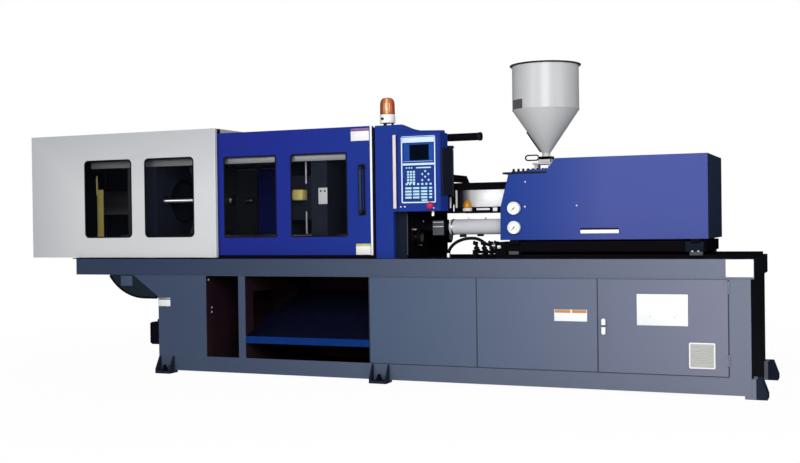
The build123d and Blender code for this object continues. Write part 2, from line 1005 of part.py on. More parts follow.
def product_chute():
    """Folded sheet chute under the mould: falls to the front, with a lip and two sides."""
    x0 = drop_bay_x0 + gap
    x1 = drop_bay_x1 - gap
    y0 = -bed_half + chute_setback
    y1 = bed_half - base_wall - chute_rear_gap
    sheet = chute_sheet
    floor = plate_yz([(y0, chute_low), (y1, chute_high), (y1, chute_high + sheet), (y0 + sheet,
                                                                                    chute_low + sheet),
                      (y0 + sheet, chute_low + chute_lip), (y0, chute_low + chute_lip)], x0, x1)
    side = plate_yz([(y0, chute_low), (y1, chute_high), (y1, chute_high + chute_side),
                      (y0, chute_low + chute_lip)], 0, sheet)
    return floor + Pos(x0, 0, 0) * side + Pos(x1 - sheet, 0, 0) * side


def power_pack():
    """Oil tank with its lid, and a ribbed motor that drives a pump, in the bed's bays."""
    floor = foot_plate + base_wall
    x0 = drop_bay_x1 + base_wall + tank_setback
    lid_x0 = x0 + tank_lid_inset
    tank = block(x0, x0 + tank_length, -tank_width / 2, tank_width / 2, floor, tank_top)
    tank += block(lid_x0, lid_x0 + tank_lid_length, -tank_lid_length / 2, tank_lid_length / 2, tank_top,
                  tank_top + tank_lid)
    tank += rod_z(x0 + filler_inset, filler_y, tank_top, tank_top + filler_height, filler_diameter)
    pump_x = x0 + tank_length + pump_gap
    motor_x = pump_x + pump_length
    motor = rod_x(motor_x, motor_x + pump_motor_length, 0, motor_height, pump_motor_diameter)
    reach = pump_motor_diameter / 2
    for turn in range(motor_rib_count):
        rib = block(motor_x + motor_rib_margin, motor_x + pump_motor_length - motor_rib_margin,
                    -motor_rib / 2, motor_rib / 2, reach - motor_rib, reach + motor_rib_height)
        angle = 360 / motor_rib_count * (turn + 0.5)
        motor += Pos(0, 0, motor_height) * Rot(angle, 0, 0) * rib
    for x in (motor_x + motor_foot_inset, motor_x + pump_motor_length - motor_foot_inset - motor_foot):
        motor += block(x, x + motor_foot, -motor_foot_width / 2, motor_foot_width / 2, floor,
                       motor_height - reach / 2)
    pump = rod_x(pump_x, motor_x, 0, motor_height, pump_diameter)
    half = pump_diameter / 2
    pump += block(pump_x - pump_block, pump_x, -half, half, motor_height - half, motor_height + half)
    return [tank, motor, pump]


def electrical_plate():
    """Mounting plate in the cabinet with breakers, contactors, a drive and cable ducts."""
    x0, x1 = bay_spans()[2]
    back = device_plate_y
    bottom = opening_bottom + device_plate_rise
    top = rail_bottom - device_plate_drop
    plate = block(x0 + device_plate_margin, x1 - device_plate_margin, back, back + device_plate, bottom, top)
    for x in (x0 + device_inset, x1 - device_inset - bracket):
        plate += block(x, x + bracket, back, 0, foot_plate + base_wall, top)
    front = back - device_plate
    for count, rise, (wide, deep, height) in zip(device_counts, device_rises, device_sizes):
        z = bottom + rise
        for i in range(count):
            left = x0 + device_inset + i * (wide + device_gap)
            plate += block(left, left + wide, front - deep, back, z, z + height)
    for rise in duct_rises:
        z = bottom + rise
        plate += block(x0 + duct_inset, x1 - duct_inset, front - duct_depth, back, z, z + duct)
    return plate


def junction_box():
    """Connector box on the left end wall, with two cable glands on its top."""
    x0 = base_x0 - junction_depth
    junction_y = -bed_half + junction_inset
    box_body = block(x0, base_x0, junction_y, junction_y + junction_width, junction_bottom, junction_top)
    for inset in cable_insets:
        gland_y = -bed_half + inset
        box_body += rod_z(x0 + junction_depth / 2, gland_y, junction_top, junction_top + cable_gland_height,
                          cable_gland)
    return box_body


def platen_blank(x0, x1, width):
    """Platen slab with rounded corners, four tie-bar bores left to the caller."""
    slab = block(x0, x1, -width / 2, width / 2, platen_bottom, platen_bottom + platen_height)
    return fillet(slab.edges().filter_by(Axis.X), platen_round)


def tie_places():
    """Y and Z of the four tie bars."""
    return [(y, axis_height + z) for y in (-tie_offset, tie_offset) for z in (-tie_offset, tie_offset)]


def mould_holes(x_face, inward):
    """Four tapped holes for the mould, on the face at x_face."""
    holes = []
    half = mould_pitch / 2
    for y in (-half, half):
        for z in (-half, half):
            x0, x1 = sorted((x_face - inward, x_face + inward * mould_hole_depth))
            holes.append(rod_x(x0, x1, y, axis_height + z, mould_hole))
    return holes


def fixed_platen():
    """Fixed platen: locating bore, cone for the nozzle, mould holes, feet and the purge guard's pin."""
    platen = platen_blank(fixed_platen_face, fixed_platen_back, fixed_platen_width)
    for y, z in tie_places():
        platen -= rod_x(fixed_platen_face - bite, fixed_platen_back + bite, y, z, tie_bar_diameter + 2 * slip)
    for hole in mould_holes(fixed_platen_face, 1):
        platen -= hole
    platen -= rod_x(fixed_platen_face - bite, fixed_platen_face + locating_depth, 0, axis_height,
                    locating_bore)
    cone = Cone(sprue_cone_small / 2, sprue_cone_large / 2, fixed_platen_depth - locating_depth)
    cone_mid = (fixed_platen_face + locating_depth + fixed_platen_back) / 2
    platen -= Pos(cone_mid, 0, axis_height) * Rot(0, 90, 0) * cone
    for side in (-1, 1):
        y = sorted((side * fixed_platen_width / 2, side * (bed_half - rail_depth)))
        platen += block(fixed_platen_face, fixed_platen_back, *y, bed_top, platen_bottom + platen_round)
    pin_end = purge_right - purge_slope - purge_return
    pin = rod_x(fixed_platen_back - bite, pin_end, purge_half, purge_pin_z, purge_pin_diameter)
    return platen + pin


def tie_bars():
    """Four tie bars, each with a round nut behind the fixed platen."""
    pieces = []
    left = tailstock_face - tailstock_depth - gear_case_depth - tie_bar_thread
    right = fixed_platen_back + tie_nut_length
    for y, z in tie_places():
        bar = rod_x(left, right, y, z, tie_bar_diameter)
        pieces.append(bar + rod_x(fixed_platen_back, fixed_platen_back + tie_nut_length, y, z,
                                  tie_nut_diameter))
    return pieces


def guide_rails():
    """Bars that other pieces slide on: wear strips, carriage rails, lower and upper door rails."""
    bars = []
    inner = bed_half - rail_depth
    bars += both_sides(block(wear_strip_left, wear_strip_right, -platen_width / 2, -inner, bed_top,
                             platen_bottom - gap))
    half = carriage_rail_width / 2
    bars += both_sides(block(carriage_rail_left, carriage_rail_right, -carriage_rail_half - half,
                             -carriage_rail_half + half, bed_top, bed_top + carriage_rail_height))
    middle = door_front - door_depth / 2
    bars += both_sides(block(bed_left, portal_left - door_guide_gap, -middle - door_guide / 2,
                             -middle + door_guide / 2, bed_top, door_bottom - gap))
    upper = block(machine_left + guard_sheet, fixed_platen_face - gap, -door_rail_front,
                  -door_rail_front + door_rail_depth, door_rail_bottom, door_rail_bottom + door_rail_height)
    bars += both_sides(upper)
    return bars


def window_tool(x0, x1, z0, z1, y0, y1, radius):
    """Block with rounded corners that cuts a window through a front panel."""
    tool = block(x0, x1, y0, y1, z0, z1)
    return fillet(tool.edges().filter_by(Axis.Y), radius)


def sheet_tray(x0, x1, front, depth, z0, z1, sheet, flange):
    """Front panel of folded sheet: face at minus front, edges folded back and turned in by flange."""
    tray = block(x0, x1, -front, -front + depth, z0, z1)
    tray -= block(x0 + sheet, x1 - sheet, -front + sheet, -front + depth - sheet, z0 + sheet, z1 - sheet)
    return tray - block(x0 + flange, x1 - flange, -front + sheet, -front + depth + bite, z0 + flange,
                        z1 - flange)


def clamp_guard_panels():
    """Fixed guard of the clamp: a folded panel with two round-cornered windows on each side, on feet."""
    x1 = guard_right
    panel = sheet_tray(machine_left, x1, guard_front, guard_depth, guard_bottom, guard_top, guard_sheet,
                       guard_flange)
    for left, right in guard_windows:
        panel -= window_tool(left, right, window_bottom, window_top, -guard_front - bite,
                             -guard_front + guard_depth / 2, window_radius)
    middle = (bed_left + x1) / 2
    for x in (bed_left + guard_leg_inset, middle, x1 - guard_leg_inset - guard_leg):
        panel += block(x, x + guard_leg, -guard_front, -guard_front + guard_depth, bed_top, guard_bottom)
    return both_sides(panel)


def clamp_guard_hood():
    """Roof and left end of the clamp guard in one folded sheet, with a header over the doors."""
    x1 = guard_right
    half = guard_front - guard_depth - slip
    hood = block(machine_left, x1, -half, half, guard_top - guard_sheet, guard_top)
    hood += block(machine_left, machine_left + guard_sheet, -half, half, guard_bottom, guard_top)
    hood += block(x1 - guard_sheet, x1, -header_half, header_half, guard_top - header_drop, guard_top)
    for row in range(vent_count):
        z = guard_bottom + vent_rise + row * vent_pitch
        hood -= block(machine_left - bite, machine_left + guard_sheet + bite, -vent_width / 2,
                      vent_width / 2, z, z + vent_height)
    return hood


def guard_panes():
    """Clear panes behind the windows of the fixed guard."""
    panes = []
    for left, right in guard_windows:
        y0 = -guard_front + guard_sheet
        panes += both_sides(block(left - pane_lap, right + pane_lap, y0, y0 + pane, window_bottom - pane_lap,
                                  window_top + pane_lap))
    return panes


def sliding_door():
    """Front safety door: folded panel with two square windows and two hangers on the upper rail."""
    door = sheet_tray(door_left, door_right, door_front, door_depth, door_bottom, door_top, door_sheet,
                      door_flange)
    for left, right in door_windows:
        door -= block(left, right, -door_front - bite, -door_front + door_depth / 2, door_window_bottom,
                      door_window_top)
    back = -door_front + door_depth
    top = door_rail_bottom + door_rail_height
    for x in (door_left + hanger_inset, door_right - hanger_inset - hanger_length):
        door += block(x, x + hanger_length, back - door_sheet, -door_rail_front + door_rail_depth, top + gap,
                      top + hanger_top)
        door += block(x, x + hanger_length, -door_front + door_sheet, back, top + gap,
                      top + hanger_top)
    return door


def door_panes():
    """Clear panes behind the windows of the sliding door."""
    panes = []
    y0 = -door_front + door_sheet
    for left, right in door_windows:
        panes.append(block(left - pane_lap, right + pane_lap, y0, y0 + pane, door_window_bottom - pane_lap,
                           door_window_top + pane_lap))
    return panes


def door_handle():
    """Bow handle of flat bar with rounded corners, standing on the door's face."""
    x0 = handle_x - handle_width / 2
    x1 = handle_x + handle_width / 2
    bow = block(x0, x1, -door_front - handle_reach, -door_front, handle_bottom, handle_top)
    bow = fillet(bow.edges().filter_by(Axis.X).group_by(Axis.Y)[0], handle_round)
    hole = block(x0 - bite, x1 + bite, -door_front - handle_reach + handle_bar, -door_front + bite,
                 handle_bottom + handle_foot, handle_top - handle_foot)
    return bow - hole


def portal_cover():
    """Sheet casing round the fixed platen: two box legs joined by a box beam on top."""
    x0 = portal_left
    x1 = portal_right
    outer = block(x0, x1, -portal_front, portal_front, bed_top, portal_top)
    inner_y = portal_front - portal_leg
    inner_z = portal_top - portal_beam
    outer -= block(x0 - bite, x1 + bite, -inner_y, inner_y, bed_top - bite, inner_z)
    outer = fillet(outer.edges().filter_by(Axis.X).group_by(Axis.Z)[-1], portal_round)
    hollow = block(x0 + cover_sheet, x1 - cover_sheet, -portal_front + cover_sheet,
                   portal_front - cover_sheet, bed_top + cover_sheet, portal_top - cover_sheet)
    hollow -= block(x0, x1, -inner_y - cover_sheet, inner_y + cover_sheet, bed_top,
                    inner_z + cover_sheet)
    return outer - hollow


def control_housing():
    """Moulded control housing with a shroud that slopes down from the portal's top."""
    x0 = housing_left
    x1 = housing_left + housing_width
    front = -housing_front
    body = block(x0, x1, front, front + housing_depth, housing_bottom, housing_bottom + housing_height)
    body = fillet(body.edges().filter_by(Axis.Z).group_by(Axis.Y)[0], housing_round)
    body -= block(x0 - bite, fixed_platen_back + bite, -fixed_platen_width / 2 - bite,
                  front + housing_depth + bite, housing_bottom - bite,
                  housing_bottom + housing_height + bite)
    left = portal_right + gap
    outline = [(left, housing_bottom), (left, portal_top), (shroud_shoulder, portal_top),
               (shroud_step, shroud_step_height), (x1, shroud_step_height - shroud_fall),
               (x1, housing_bottom)]
    body += plate_xz(outline, -portal_front, -portal_front + shroud_depth)
    body -= block(bezel_left, bezel_left + bezel_width, front - bite, front + bezel_seat, bezel_bottom,
                  bezel_bottom + bezel_height)
    body += rod_y(stop_x, front - stop_collar_reach, front + bite, stop_z, stop_collar)
    body -= rod_y(stop_x, front - stop_collar_reach - bite, front + stop_stem_reach + stop_travel, stop_z,
                  stop_stem + 2 * running)
    body -= rod_z(key_x, -key_y, housing_bottom - bite, housing_bottom + key_barrel_reach + key_barrel_lip,
                  key_barrel + 2 * running)
    return body


def operator_panel():
    """Bezel with a rim, a header band and a divider, over the display and the key field."""
    x0 = bezel_left
    x1 = bezel_left + bezel_width
    z0 = bezel_bottom
    z1 = bezel_bottom + bezel_height
    face = -housing_front - bezel_depth
    panel = block(x0, x1, face, -housing_front + bezel_seat, z0, z1)
    upper = (divider_bottom + divider_height, z1 - header_height)
    lower = (z0 + bezel_rim, divider_bottom)
    for bottom, top in (upper, lower):
        panel -= block(x0 + bezel_rim, x1 - bezel_rim, face - bite, face + bezel_recess, bottom, top)
    panel -= block(screen_left, screen_left + screen_width, face, face + screen_recess, screen_bottom,
                   screen_bottom + screen_height)
    return panel


def control_arm():
    """Black bracket box behind and beside the control housing, the trim strip and the boom tube."""
    front = -housing_front + housing_depth
    left = fixed_platen_back + tie_nut_length + arm_gap
    cheek_left = housing_left + housing_width + gap
    box_body = block(left, arm_right, front, -arm_back, arm_bottom, arm_top)
    box_body += block(cheek_left, arm_right, -housing_front + housing_round, -arm_back, arm_bottom, arm_top)
    box_body += rod_z(arm_right - arm_knob_inset, -arm_back - arm_gap, arm_top, arm_top + arm_knob_height,
                      arm_knob)
    trim = block(trim_left, trim_left + trim_width, -portal_front - trim_depth, -portal_front, trim_bottom,
                 trim_top)
    boom = rod_x(fixed_platen_back, boom_end, -boom_y, boom_z, boom_diameter)
    return box_body, trim, boom


def beacon():
    """Warning lamp: base on three legs with a lens that narrows towards its top."""
    z0 = portal_top
    z1 = z0 + beacon_leg_height
    z2 = z1 + beacon_base_height
    z3 = z2 + beacon_lens_height
    radius = beacon_diameter / 2
    base = rod_z(beacon_x, -beacon_y, z1, z2, beacon_diameter)
    for turn in range(beacon_leg_count):
        angle = radians(360 / beacon_leg_count * turn + beacon_leg_turn)
        leg_x = beacon_x + (radius - beacon_leg_inset) * cos(angle)
        leg_y = -beacon_y + (radius - beacon_leg_inset) * sin(angle)
        base += block(leg_x - beacon_leg / 2, leg_x + beacon_leg / 2, leg_y - beacon_leg / 2,
                      leg_y + beacon_leg / 2, z0, z1)
    shoulder = (radius - lens_shoulder[0], z3 - lens_shoulder[1])
    crown = (radius - lens_crown[0], z3 - lens_crown[1])
    dome = make_face(Polyline((0, z2), (radius - lens_step, z2), shoulder, crown, (radius - lens_top, z3),
                              (0, z3), close=True))
    lens = Pos(beacon_x, -beacon_y, 0) * revolve(Plane.XZ * dome, Axis.Z)
    return base, lens


def carriage_cylinders():
    """Two tubes that draw the nozzle to the platen, each on a flanged stay with a square eye block."""
    x0 = fixed_platen_back
    eye = x0 + seat_eye_lead
    half = seat_cylinder_diameter / 2
    tube = rod_x(seat_head, seat_cylinder_end, 0, 0, seat_cylinder_diameter)
    tube += rod_x(x0, seat_head + bite, 0, 0, seat_stay_diameter)
    tube += rod_x(x0, x0 + seat_flange, 0, 0, seat_flange_diameter)
    tube += block(eye, eye + seat_eye_length, -half, half, -half, half)
    tube -= rod_x(seat_head + seat_cap, seat_cylinder_end + bite, 0, 0, seat_rod_diameter + 2 * running)
    return both_sides(Pos(0, -seat_cylinder_y, seat_cylinder_z) * tube)


def hose_manifold():
    """Valve block on the deck under the plasticising unit, with pipe stubs towards the platen."""
    x0 = manifold_left
    body = block(x0, x0 + manifold_length, -manifold_front, manifold_back, bed_top, manifold_top)
    half = stub_block / 2
    for i in range(stub_count):
        y = stub_y + stub_pitch * i
        x = x0 - stub_lead + stub_pitch * i
        body += block(x - half, x + half, y - half, y + half, bed_top, bed_top + stub_height)
        body += rod_x(x, x0 + bite, y, bed_top + stub_pipe_rise, stub_pipe)
    return body


def supply_hose():
    """Pressure hose from the deck up and over to the top of the valve block, as straight tube lengths."""
    route = [(hose_start + along, hose_y, bed_top + rise) for along, rise in hose_points]
    points = route + [(manifold_left, hose_y, bed_top + hose_port)]
    start = Plane(origin=points[0], z_dir=(0, 0, 1))
    return sweep(start * Circle(hose_diameter / 2), path=Polyline(*points), transition=Transition.RIGHT)


def eye_lug(x_root, x_eye, z, radius, y0, y1):
    """Lug from a flat face at x_root to a round end about x_eye."""
    low, high = sorted((x_root, x_eye))
    return block(low, high, y0, y1, z - radius, z + radius) + rod_y(x_eye, y0, y1, z, 2 * radius)


def lug_planes(plane):
    """Y limits of the inner and outer ear on both sides of a link plate."""
    inner = plane - link_plate / 2 - lug_play
    outer = plane + link_plate / 2 + lug_play
    return (inner - lug_plate, inner), (outer, outer + lug_plate)


def pinned_lugs(x_root, x_eye, plane, radius, pin):
    """The lugs of both pivots on both sides, each pair joined by its pin."""
    lugs = []
    inner, outer = lug_planes(plane)
    for level in (-pivot_height, pivot_height):
        z = axis_height + level
        pair = eye_lug(x_root, x_eye, z, radius, *inner) + eye_lug(x_root, x_eye, z, radius, *outer)
        lugs += both_sides(pair + rod_y(x_eye, inner[1] - bite, outer[0] + bite, z, pin))
    return lugs


def tailstock_platen():
    """Tailstock: slab with the cylinder bore, tie-bar bores and four lug pairs with the rear pins."""
    back = tailstock_face - tailstock_depth
    platen = platen_blank(back, tailstock_face, platen_width)
    for y, z in tie_places():
        platen -= rod_x(back - bite, tailstock_face + bite, y, z, tie_bar_diameter + 2 * running)
    platen -= rod_x(back - bite, tailstock_face + bite, 0, axis_height, tailstock_bore)
    return platen + pinned_lugs(tailstock_face, tail_pivot_x, rear_link_plane, tail_eye - eye_step, tail_pin)


def crosshead_guide_rods():
    """Two guide rods of the crosshead, on the tailstock's face."""
    rods = []
    for y in (-guide_rod_offset, guide_rod_offset):
        rod = rod_x(tailstock_face, tailstock_face + guide_rod_reach, y, axis_height, guide_rod_diameter)
        rods.append(rod + rod_x(tailstock_face, tailstock_face + guide_rod_collar_depth, y, axis_height,
                                guide_rod_collar))
    return rods


def clamp_cylinder():
    """Clamp cylinder: flange on the tailstock, tube, end cap and a bored gland for the rod."""
    x1 = tailstock_face - tailstock_depth
    x0 = x1 - cylinder_flange_depth
    left = x0 - cylinder_length
    bore = piston_diameter / 2 + running
    outer = piston_diameter / 2 + cylinder_wall
    rod = piston_rod_diameter / 2 + running
    gland = x1 - cylinder_gland
    flange = cylinder_flange / 2
    profile = make_face(Polyline((left, 0), (left, outer), (x0, outer), (x0, flange), (x1, flange),
                                 (x1, rod), (gland, rod), (gland, bore), (left + cylinder_cap, bore),
                                 (left + cylinder_cap, 0), close=True))
    return Pos(0, 0, axis_height) * revolve(Plane.XZ * profile, Axis.X)


def die_height_gear_case():
    """Closed case of the ring gear that turns the tie-bar nuts, with its drive motor."""
    x1 = tailstock_face - tailstock_depth
    x0 = x1 - gear_case_depth
    half = platen_width / 2
    case = block(x0, x1, -half, half, axis_height - half, axis_height + half)
    case = fillet(case.edges().filter_by(Axis.X), gear_case_round)
    case -= rod_x(x0 - bite, x1 + bite, 0, axis_height, cylinder_flange + 2 * gap)
    for y, z in tie_places():
        case -= rod_x(x0 - bite, x1 + bite, y, z, tie_bar_diameter + 2 * running)
    return case + rod_x(x0 - die_motor_length, x0, 0, axis_height + half - gear_case_round,
                        die_motor_diameter)


def rear_link():
    """Upper rear link: two bell-crank plates on the knee barrel, with the knee and arm pins."""
    tail = (tail_pivot_x, axis_height + pivot_height)
    knee = (knee_x, axis_height + pivot_height - knee_drop)
    arm = (arm_x, axis_height + pivot_height - arm_drop)
    y0 = rear_link_plane - link_plate / 2
    y1 = rear_link_plane + link_plate / 2
    plate = link_bar(tail, knee, tail_eye, knee_eye, y0, y1)
    plate += link_bar(tail, arm, tail_eye, arm_eye, y0, y1)
    web_knee = (tail[0] + web_knee_share * (knee[0] - tail[0]),
                tail[1] + web_knee_share * (knee[1] - tail[1]))
    web_arm = (tail[0] + web_arm_share * (arm[0] - tail[0]), tail[1] + web_arm_share * (arm[1] - tail[1]))
    plate += plate_xz([tail, web_knee, web_arm], y0, y1)
    plate -= rod_y(tail[0], y0 - bite, y1 + bite, tail[1], tail_pin + 2 * running)
    plate += rod_y(knee[0], y1 - bite, front_link_plane + link_plate / 2 + pin_head, knee[1], knee_pin)
    plate += rod_y(arm[0], cross_link_plane - link_plate / 2 - pin_head / 2, y0 + bite, arm[1], arm_pin)
    link = rod_y(knee[0], -y0 - bite, y0 + bite, knee[1], 2 * (knee_eye - pin_head / 2))
    for side in both_sides(plate):
        link += side
    return link


def front_link(clearance):
    """Upper front link: two plates joined by a tube, from the knee pins to the platen's pins."""
    knee = (knee_x, axis_height + pivot_height - knee_drop)
    front = (front_pivot_x, axis_height + pivot_height)
    y0 = front_link_plane - link_plate / 2
    y1 = front_link_plane + link_plate / 2
    plate = link_bar(knee, front, knee_eye, front_eye, y0, y1)
    plate -= rod_y(knee[0], y0 - bite, y1 + bite, knee[1], knee_pin + 2 * running)
    plate -= rod_y(front[0], y0 - bite, y1 + bite, front[1], front_pin + 2 * clearance)
    middle = ((knee[0] + front[0]) / 2, (knee[1] + front[1]) / 2)
    link = rod_y(middle[0], -y0, y0, middle[1], tie_tube)
    for side in both_sides(plate):
        link += side
    return link


def crosshead_link():
    """Upper crosshead link: two plates from the rear link's arm pins to a pin through the crosshead."""
    arm = (arm_x, axis_height + pivot_height - arm_drop)
    head = (crosshead_x, arm[1])
    y0 = cross_link_plane - link_plate / 2
    y1 = cross_link_plane + link_plate / 2
    plate = link_bar(arm, head, cross_eye, cross_eye, y0, y1)
    plate -= rod_y(arm[0], y0 - bite, y1 + bite, arm[1], arm_pin + 2 * running)
    link = rod_y(head[0], -y0 - bite, y0 + bite, head[1], cross_pin)
    for side in both_sides(plate):
        link += side
    return link


def crosshead():
    """Crosshead: yoke with two upright slots for the link pins and wings that run on the guide rods."""
    half = crosshead_length / 2
    top = slot_high + crosshead_margin
    body = block(crosshead_x - half, crosshead_x + half, -crosshead_width / 2, crosshead_width / 2,
                 axis_height - top, axis_height + top)
    body = fillet(body.edges().filter_by(Axis.Y), crosshead_round)
    wings = block(crosshead_x - wing_length / 2, crosshead_x + wing_length / 2, -wing_span / 2, wing_span / 2,
                  axis_height - wing_height / 2, axis_height + wing_height / 2)
    body += fillet(wings.edges().filter_by(Axis.X), wing_round)
    slot_width = cross_pin + 2 * slot_play
    for side in (-1, 1):
        low = axis_height + side * slot_low
        high = axis_height + side * slot_high
        z0, z1 = sorted((low, high))
        body -= block(crosshead_x - slot_width / 2, crosshead_x + slot_width / 2, -crosshead_width,
                      crosshead_width, z0, z1)
        for z in (z0, z1):
            body -= rod_y(crosshead_x, -crosshead_width, crosshead_width, z, slot_width)
    for y in (-guide_rod_offset, guide_rod_offset):
        body -= rod_x(crosshead_x - crosshead_length, crosshead_x + crosshead_length, y, axis_height,
                      guide_rod_diameter + 2 * running)
    body -= rod_x(crosshead_x - crosshead_length, crosshead_x + crosshead_length, 0, axis_height,
                  stud_diameter + 2 * slip)
    return body


def clamp_piston_rod():
    """Piston and rod, with a stud through the crosshead and its nut."""
    half = crosshead_length / 2
    face = crosshead_x - half
    rod = rod_x(piston_place, face, 0, axis_height, piston_rod_diameter)
    rod += rod_x(piston_place - piston_length / 2, piston_place + piston_length / 2, 0, axis_height,
                 piston_diameter)
    rod += rod_x(face, crosshead_x + half + stud_reach, 0, axis_height, stud_diameter)
    nut = rod_x(crosshead_x + half, crosshead_x + half + stud_nut_length, 0, axis_height, stud_nut_diameter)
    return rod + nut


def moving_platen():
    """Moving platen: mould plate, ribbed box, back plate with lugs and front pins, ejector cylinder."""
    platen = platen_blank(moving_back_face, moving_platen_face, platen_width)
    for hole in mould_holes(moving_platen_face, -1):
        platen -= hole
    half = moving_box_width / 2
    top = pivot_height + front_eye - eye_step
    shell = block(moving_rear_face, moving_back_face, -half, half, axis_height - top, axis_height + top)
    waist = moving_box_waist
    for z0, z1 in ((-top + moving_box_wall, -waist), (waist, top - moving_box_wall)):
        shell -= block(moving_box_back, moving_back_face, -half - bite, half + bite, axis_height + z0,
                       axis_height + z1)
    shell -= block(moving_box_back, moving_back_face, -half + moving_box_wall, half - moving_box_wall,
                   axis_height - waist + moving_box_wall, axis_height + waist - moving_box_wall)
    platen += shell
    for y, z in tie_places():
        platen -= rod_x(moving_back_face - bite, moving_platen_face + bite, y, z,
                        tie_bar_diameter + 2 * running)
        platen -= rod_x(moving_rear_face - bite, moving_back_face, y, z, tie_bar_passage)
    for y in (-ejector_pin_spacing, 0, ejector_pin_spacing):
        platen -= rod_x(moving_back_face - bite, moving_platen_face + bite, y, axis_height,
                        ejector_pin + 2 * running)
    platen += rod_x(moving_rear_face - ejector_cylinder_length, moving_rear_face + bite, 0, axis_height,
                    ejector_cylinder_diameter)
    platen -= rod_x(moving_rear_face - ejector_cylinder_length + ejector_cap, moving_box_back + bite, 0,
                    axis_height, ejector_rod + 2 * running)
    return platen + pinned_lugs(moving_rear_face, front_pivot_x, front_link_plane, front_eye - eye_step,
                                front_pin)


def ejector():
    """Ejector plate in the platen's box, with its rod and three ejector pins."""
    x0 = moving_box_back + ejector_plate_gap
    x1 = x0 + ejector_plate_depth
    plate = block(x0, x1, -ejector_plate_width / 2, ejector_plate_width / 2,
                  axis_height - ejector_plate_height / 2, axis_height + ejector_plate_height / 2)
    plate = fillet(plate.edges().filter_by(Axis.X), ejector_plate_round)
    for y in (-ejector_pin_spacing, 0, ejector_pin_spacing):
        plate += rod_x(x1 - bite, moving_platen_face - ejector_pin_setback, y, axis_height, ejector_pin)
    plate += rod_x(moving_rear_face - ejector_cylinder_length + ejector_cap + eye_step, x0 + bite, 0,
                   axis_height, ejector_rod)
    return plate


def injection_cover():
    """Sheet cover of the plasticising unit, open below and at the left, with a pull slot each side."""
    outline = [(cover_left, cover_bottom), (cover_left + cover_lip, cover_knee), (cover_low_left,
                                                                                  cover_low_top),
               (cover_step_right, cover_step), (cover_high_left, cover_top), (cover_right, cover_top),
               (cover_right, cover_bottom)]
    solid = plate_xz(outline, -cover_half, cover_half)
    mouth = cover_left - cover_mouth
    over = cover_top + cover_sheet
    under = cover_top - cover_sheet
    inner = [(mouth, cover_bottom - bite), (mouth, cover_knee), (mouth + cover_slope, over),
             (cover_step_right - cover_sheet, over), (cover_step_right + cover_sheet, cover_step),
             (cover_high_left + cover_sheet, under), (cover_right - cover_sheet, under),
             (cover_right - cover_sheet, cover_bottom - bite)]
    shell = solid - plate_xz(inner, -cover_half + cover_sheet, cover_half - cover_sheet)
    for side in (-1, 1):
        y0, y1 = sorted((side * (cover_half - slot_depth), side * (cover_half + bite)))
        shell -= block(slot_left, slot_left + slot_width, y0, y1, slot_bottom, slot_bottom + slot_height)
    return shell


def injection_carriage():
    """Feed block on the carriage base, with shoes on the rails, drip tray and the two seat piston rods."""
    x0 = throat_x - feed_length / 2
    x1 = throat_x + feed_length / 2
    half = feed_width / 2
    shoe_bottom = bed_top + carriage_rail_height + gap
    shoe_inner = carriage_rail_half - shoe_width / 2
    body = block(x0, x1, -half, half, feed_bottom, feed_top)
    body += block(base_left, base_right, -base_half, base_half, base_bottom, feed_bottom)
    well_half = base_half - base_well_margin
    body -= block(x1 + bite, base_right - base_well_inset, -well_half, well_half, base_bottom - bite,
                  feed_bottom + bite)
    for x in shoe_places:
        for shoe in both_sides(block(x, x + shoe_length, shoe_inner, shoe_inner + shoe_width, shoe_bottom,
                                     base_bottom)):
            body += shoe
    wing = seat_cylinder_y + seat_cylinder_diameter / 2 + wing_margin
    body += block(x0, x1, -wing, wing, feed_bottom, seat_cylinder_z + seat_wing_height)
    shot_half = shot_cylinder_diameter / 2 + wing_margin
    shot_wing = shot_cylinder_y + shot_half
    body += block(x0, x1, -shot_wing, shot_wing, axis_height - shot_half, axis_height + shot_half)
    tray_z = feed_top - tray_drop
    tray_half = cover_half - tray_inset
    body += block(cover_low_left - tray_margin, cover_step_right - tray_inset, -tray_half, tray_half, tray_z,
                  tray_z + tray_thickness)
    body -= rod_x(x0 - bite, x1 + bite, 0, axis_height, barrel_diameter + 2 * slip)
    body -= rod_z(throat_x, 0, axis_height, feed_top + bite, throat_diameter)
    bracket_half = cover_half - cover_sheet - gap
    for x in (base_left + cover_bracket_inset, base_right - cover_bracket_inset - cover_bracket):
        body += block(x, x + cover_bracket, -bracket_half, bracket_half, feed_bottom - cover_bracket_drop,
                      feed_bottom + cover_bracket_rise)
    rod_end = seat_head + seat_cap + seat_rod_gap
    pieces = [body]
    for y in (-seat_cylinder_y, seat_cylinder_y):
        pieces.append(rod_x(rod_end, x0, y, seat_cylinder_z, seat_rod_diameter))
    return pieces


def barrel():
    """Barrel with heater bands and the screwed-in nozzle."""
    x0 = barrel_front
    cone_end = nozzle_tip + nozzle_cone_length
    body = rod_x(x0, barrel_back, 0, axis_height, barrel_diameter)
    body += rod_x(cone_end, x0 + bite, 0, axis_height, nozzle_diameter)
    cone = Cone(nozzle_tip_diameter / 2, nozzle_diameter / 2, nozzle_cone_length)
    body += Pos((nozzle_tip + cone_end) / 2, 0, axis_height) * Rot(0, 90, 0) * cone
    margin, width, height = band_box
    band_top = axis_height + band_diameter / 2
    for i in range(band_count):
        x = band_start + i * band_pitch
        body += rod_x(x, x + band_length, 0, axis_height, band_diameter)
        body += block(x + margin, x + band_length - margin, -width / 2, width / 2, band_top - height,
                      band_top + height)
    body -= rod_x(screw_tip - bore_step, barrel_back + bite, 0, axis_height, barrel_bore + 2 * gap)
    body -= rod_x(nozzle_tip - bite, screw_tip, 0, axis_height, nozzle_bore)
    return body - rod_z(throat_x, 0, axis_height, axis_height + barrel_diameter, barrel_inlet)


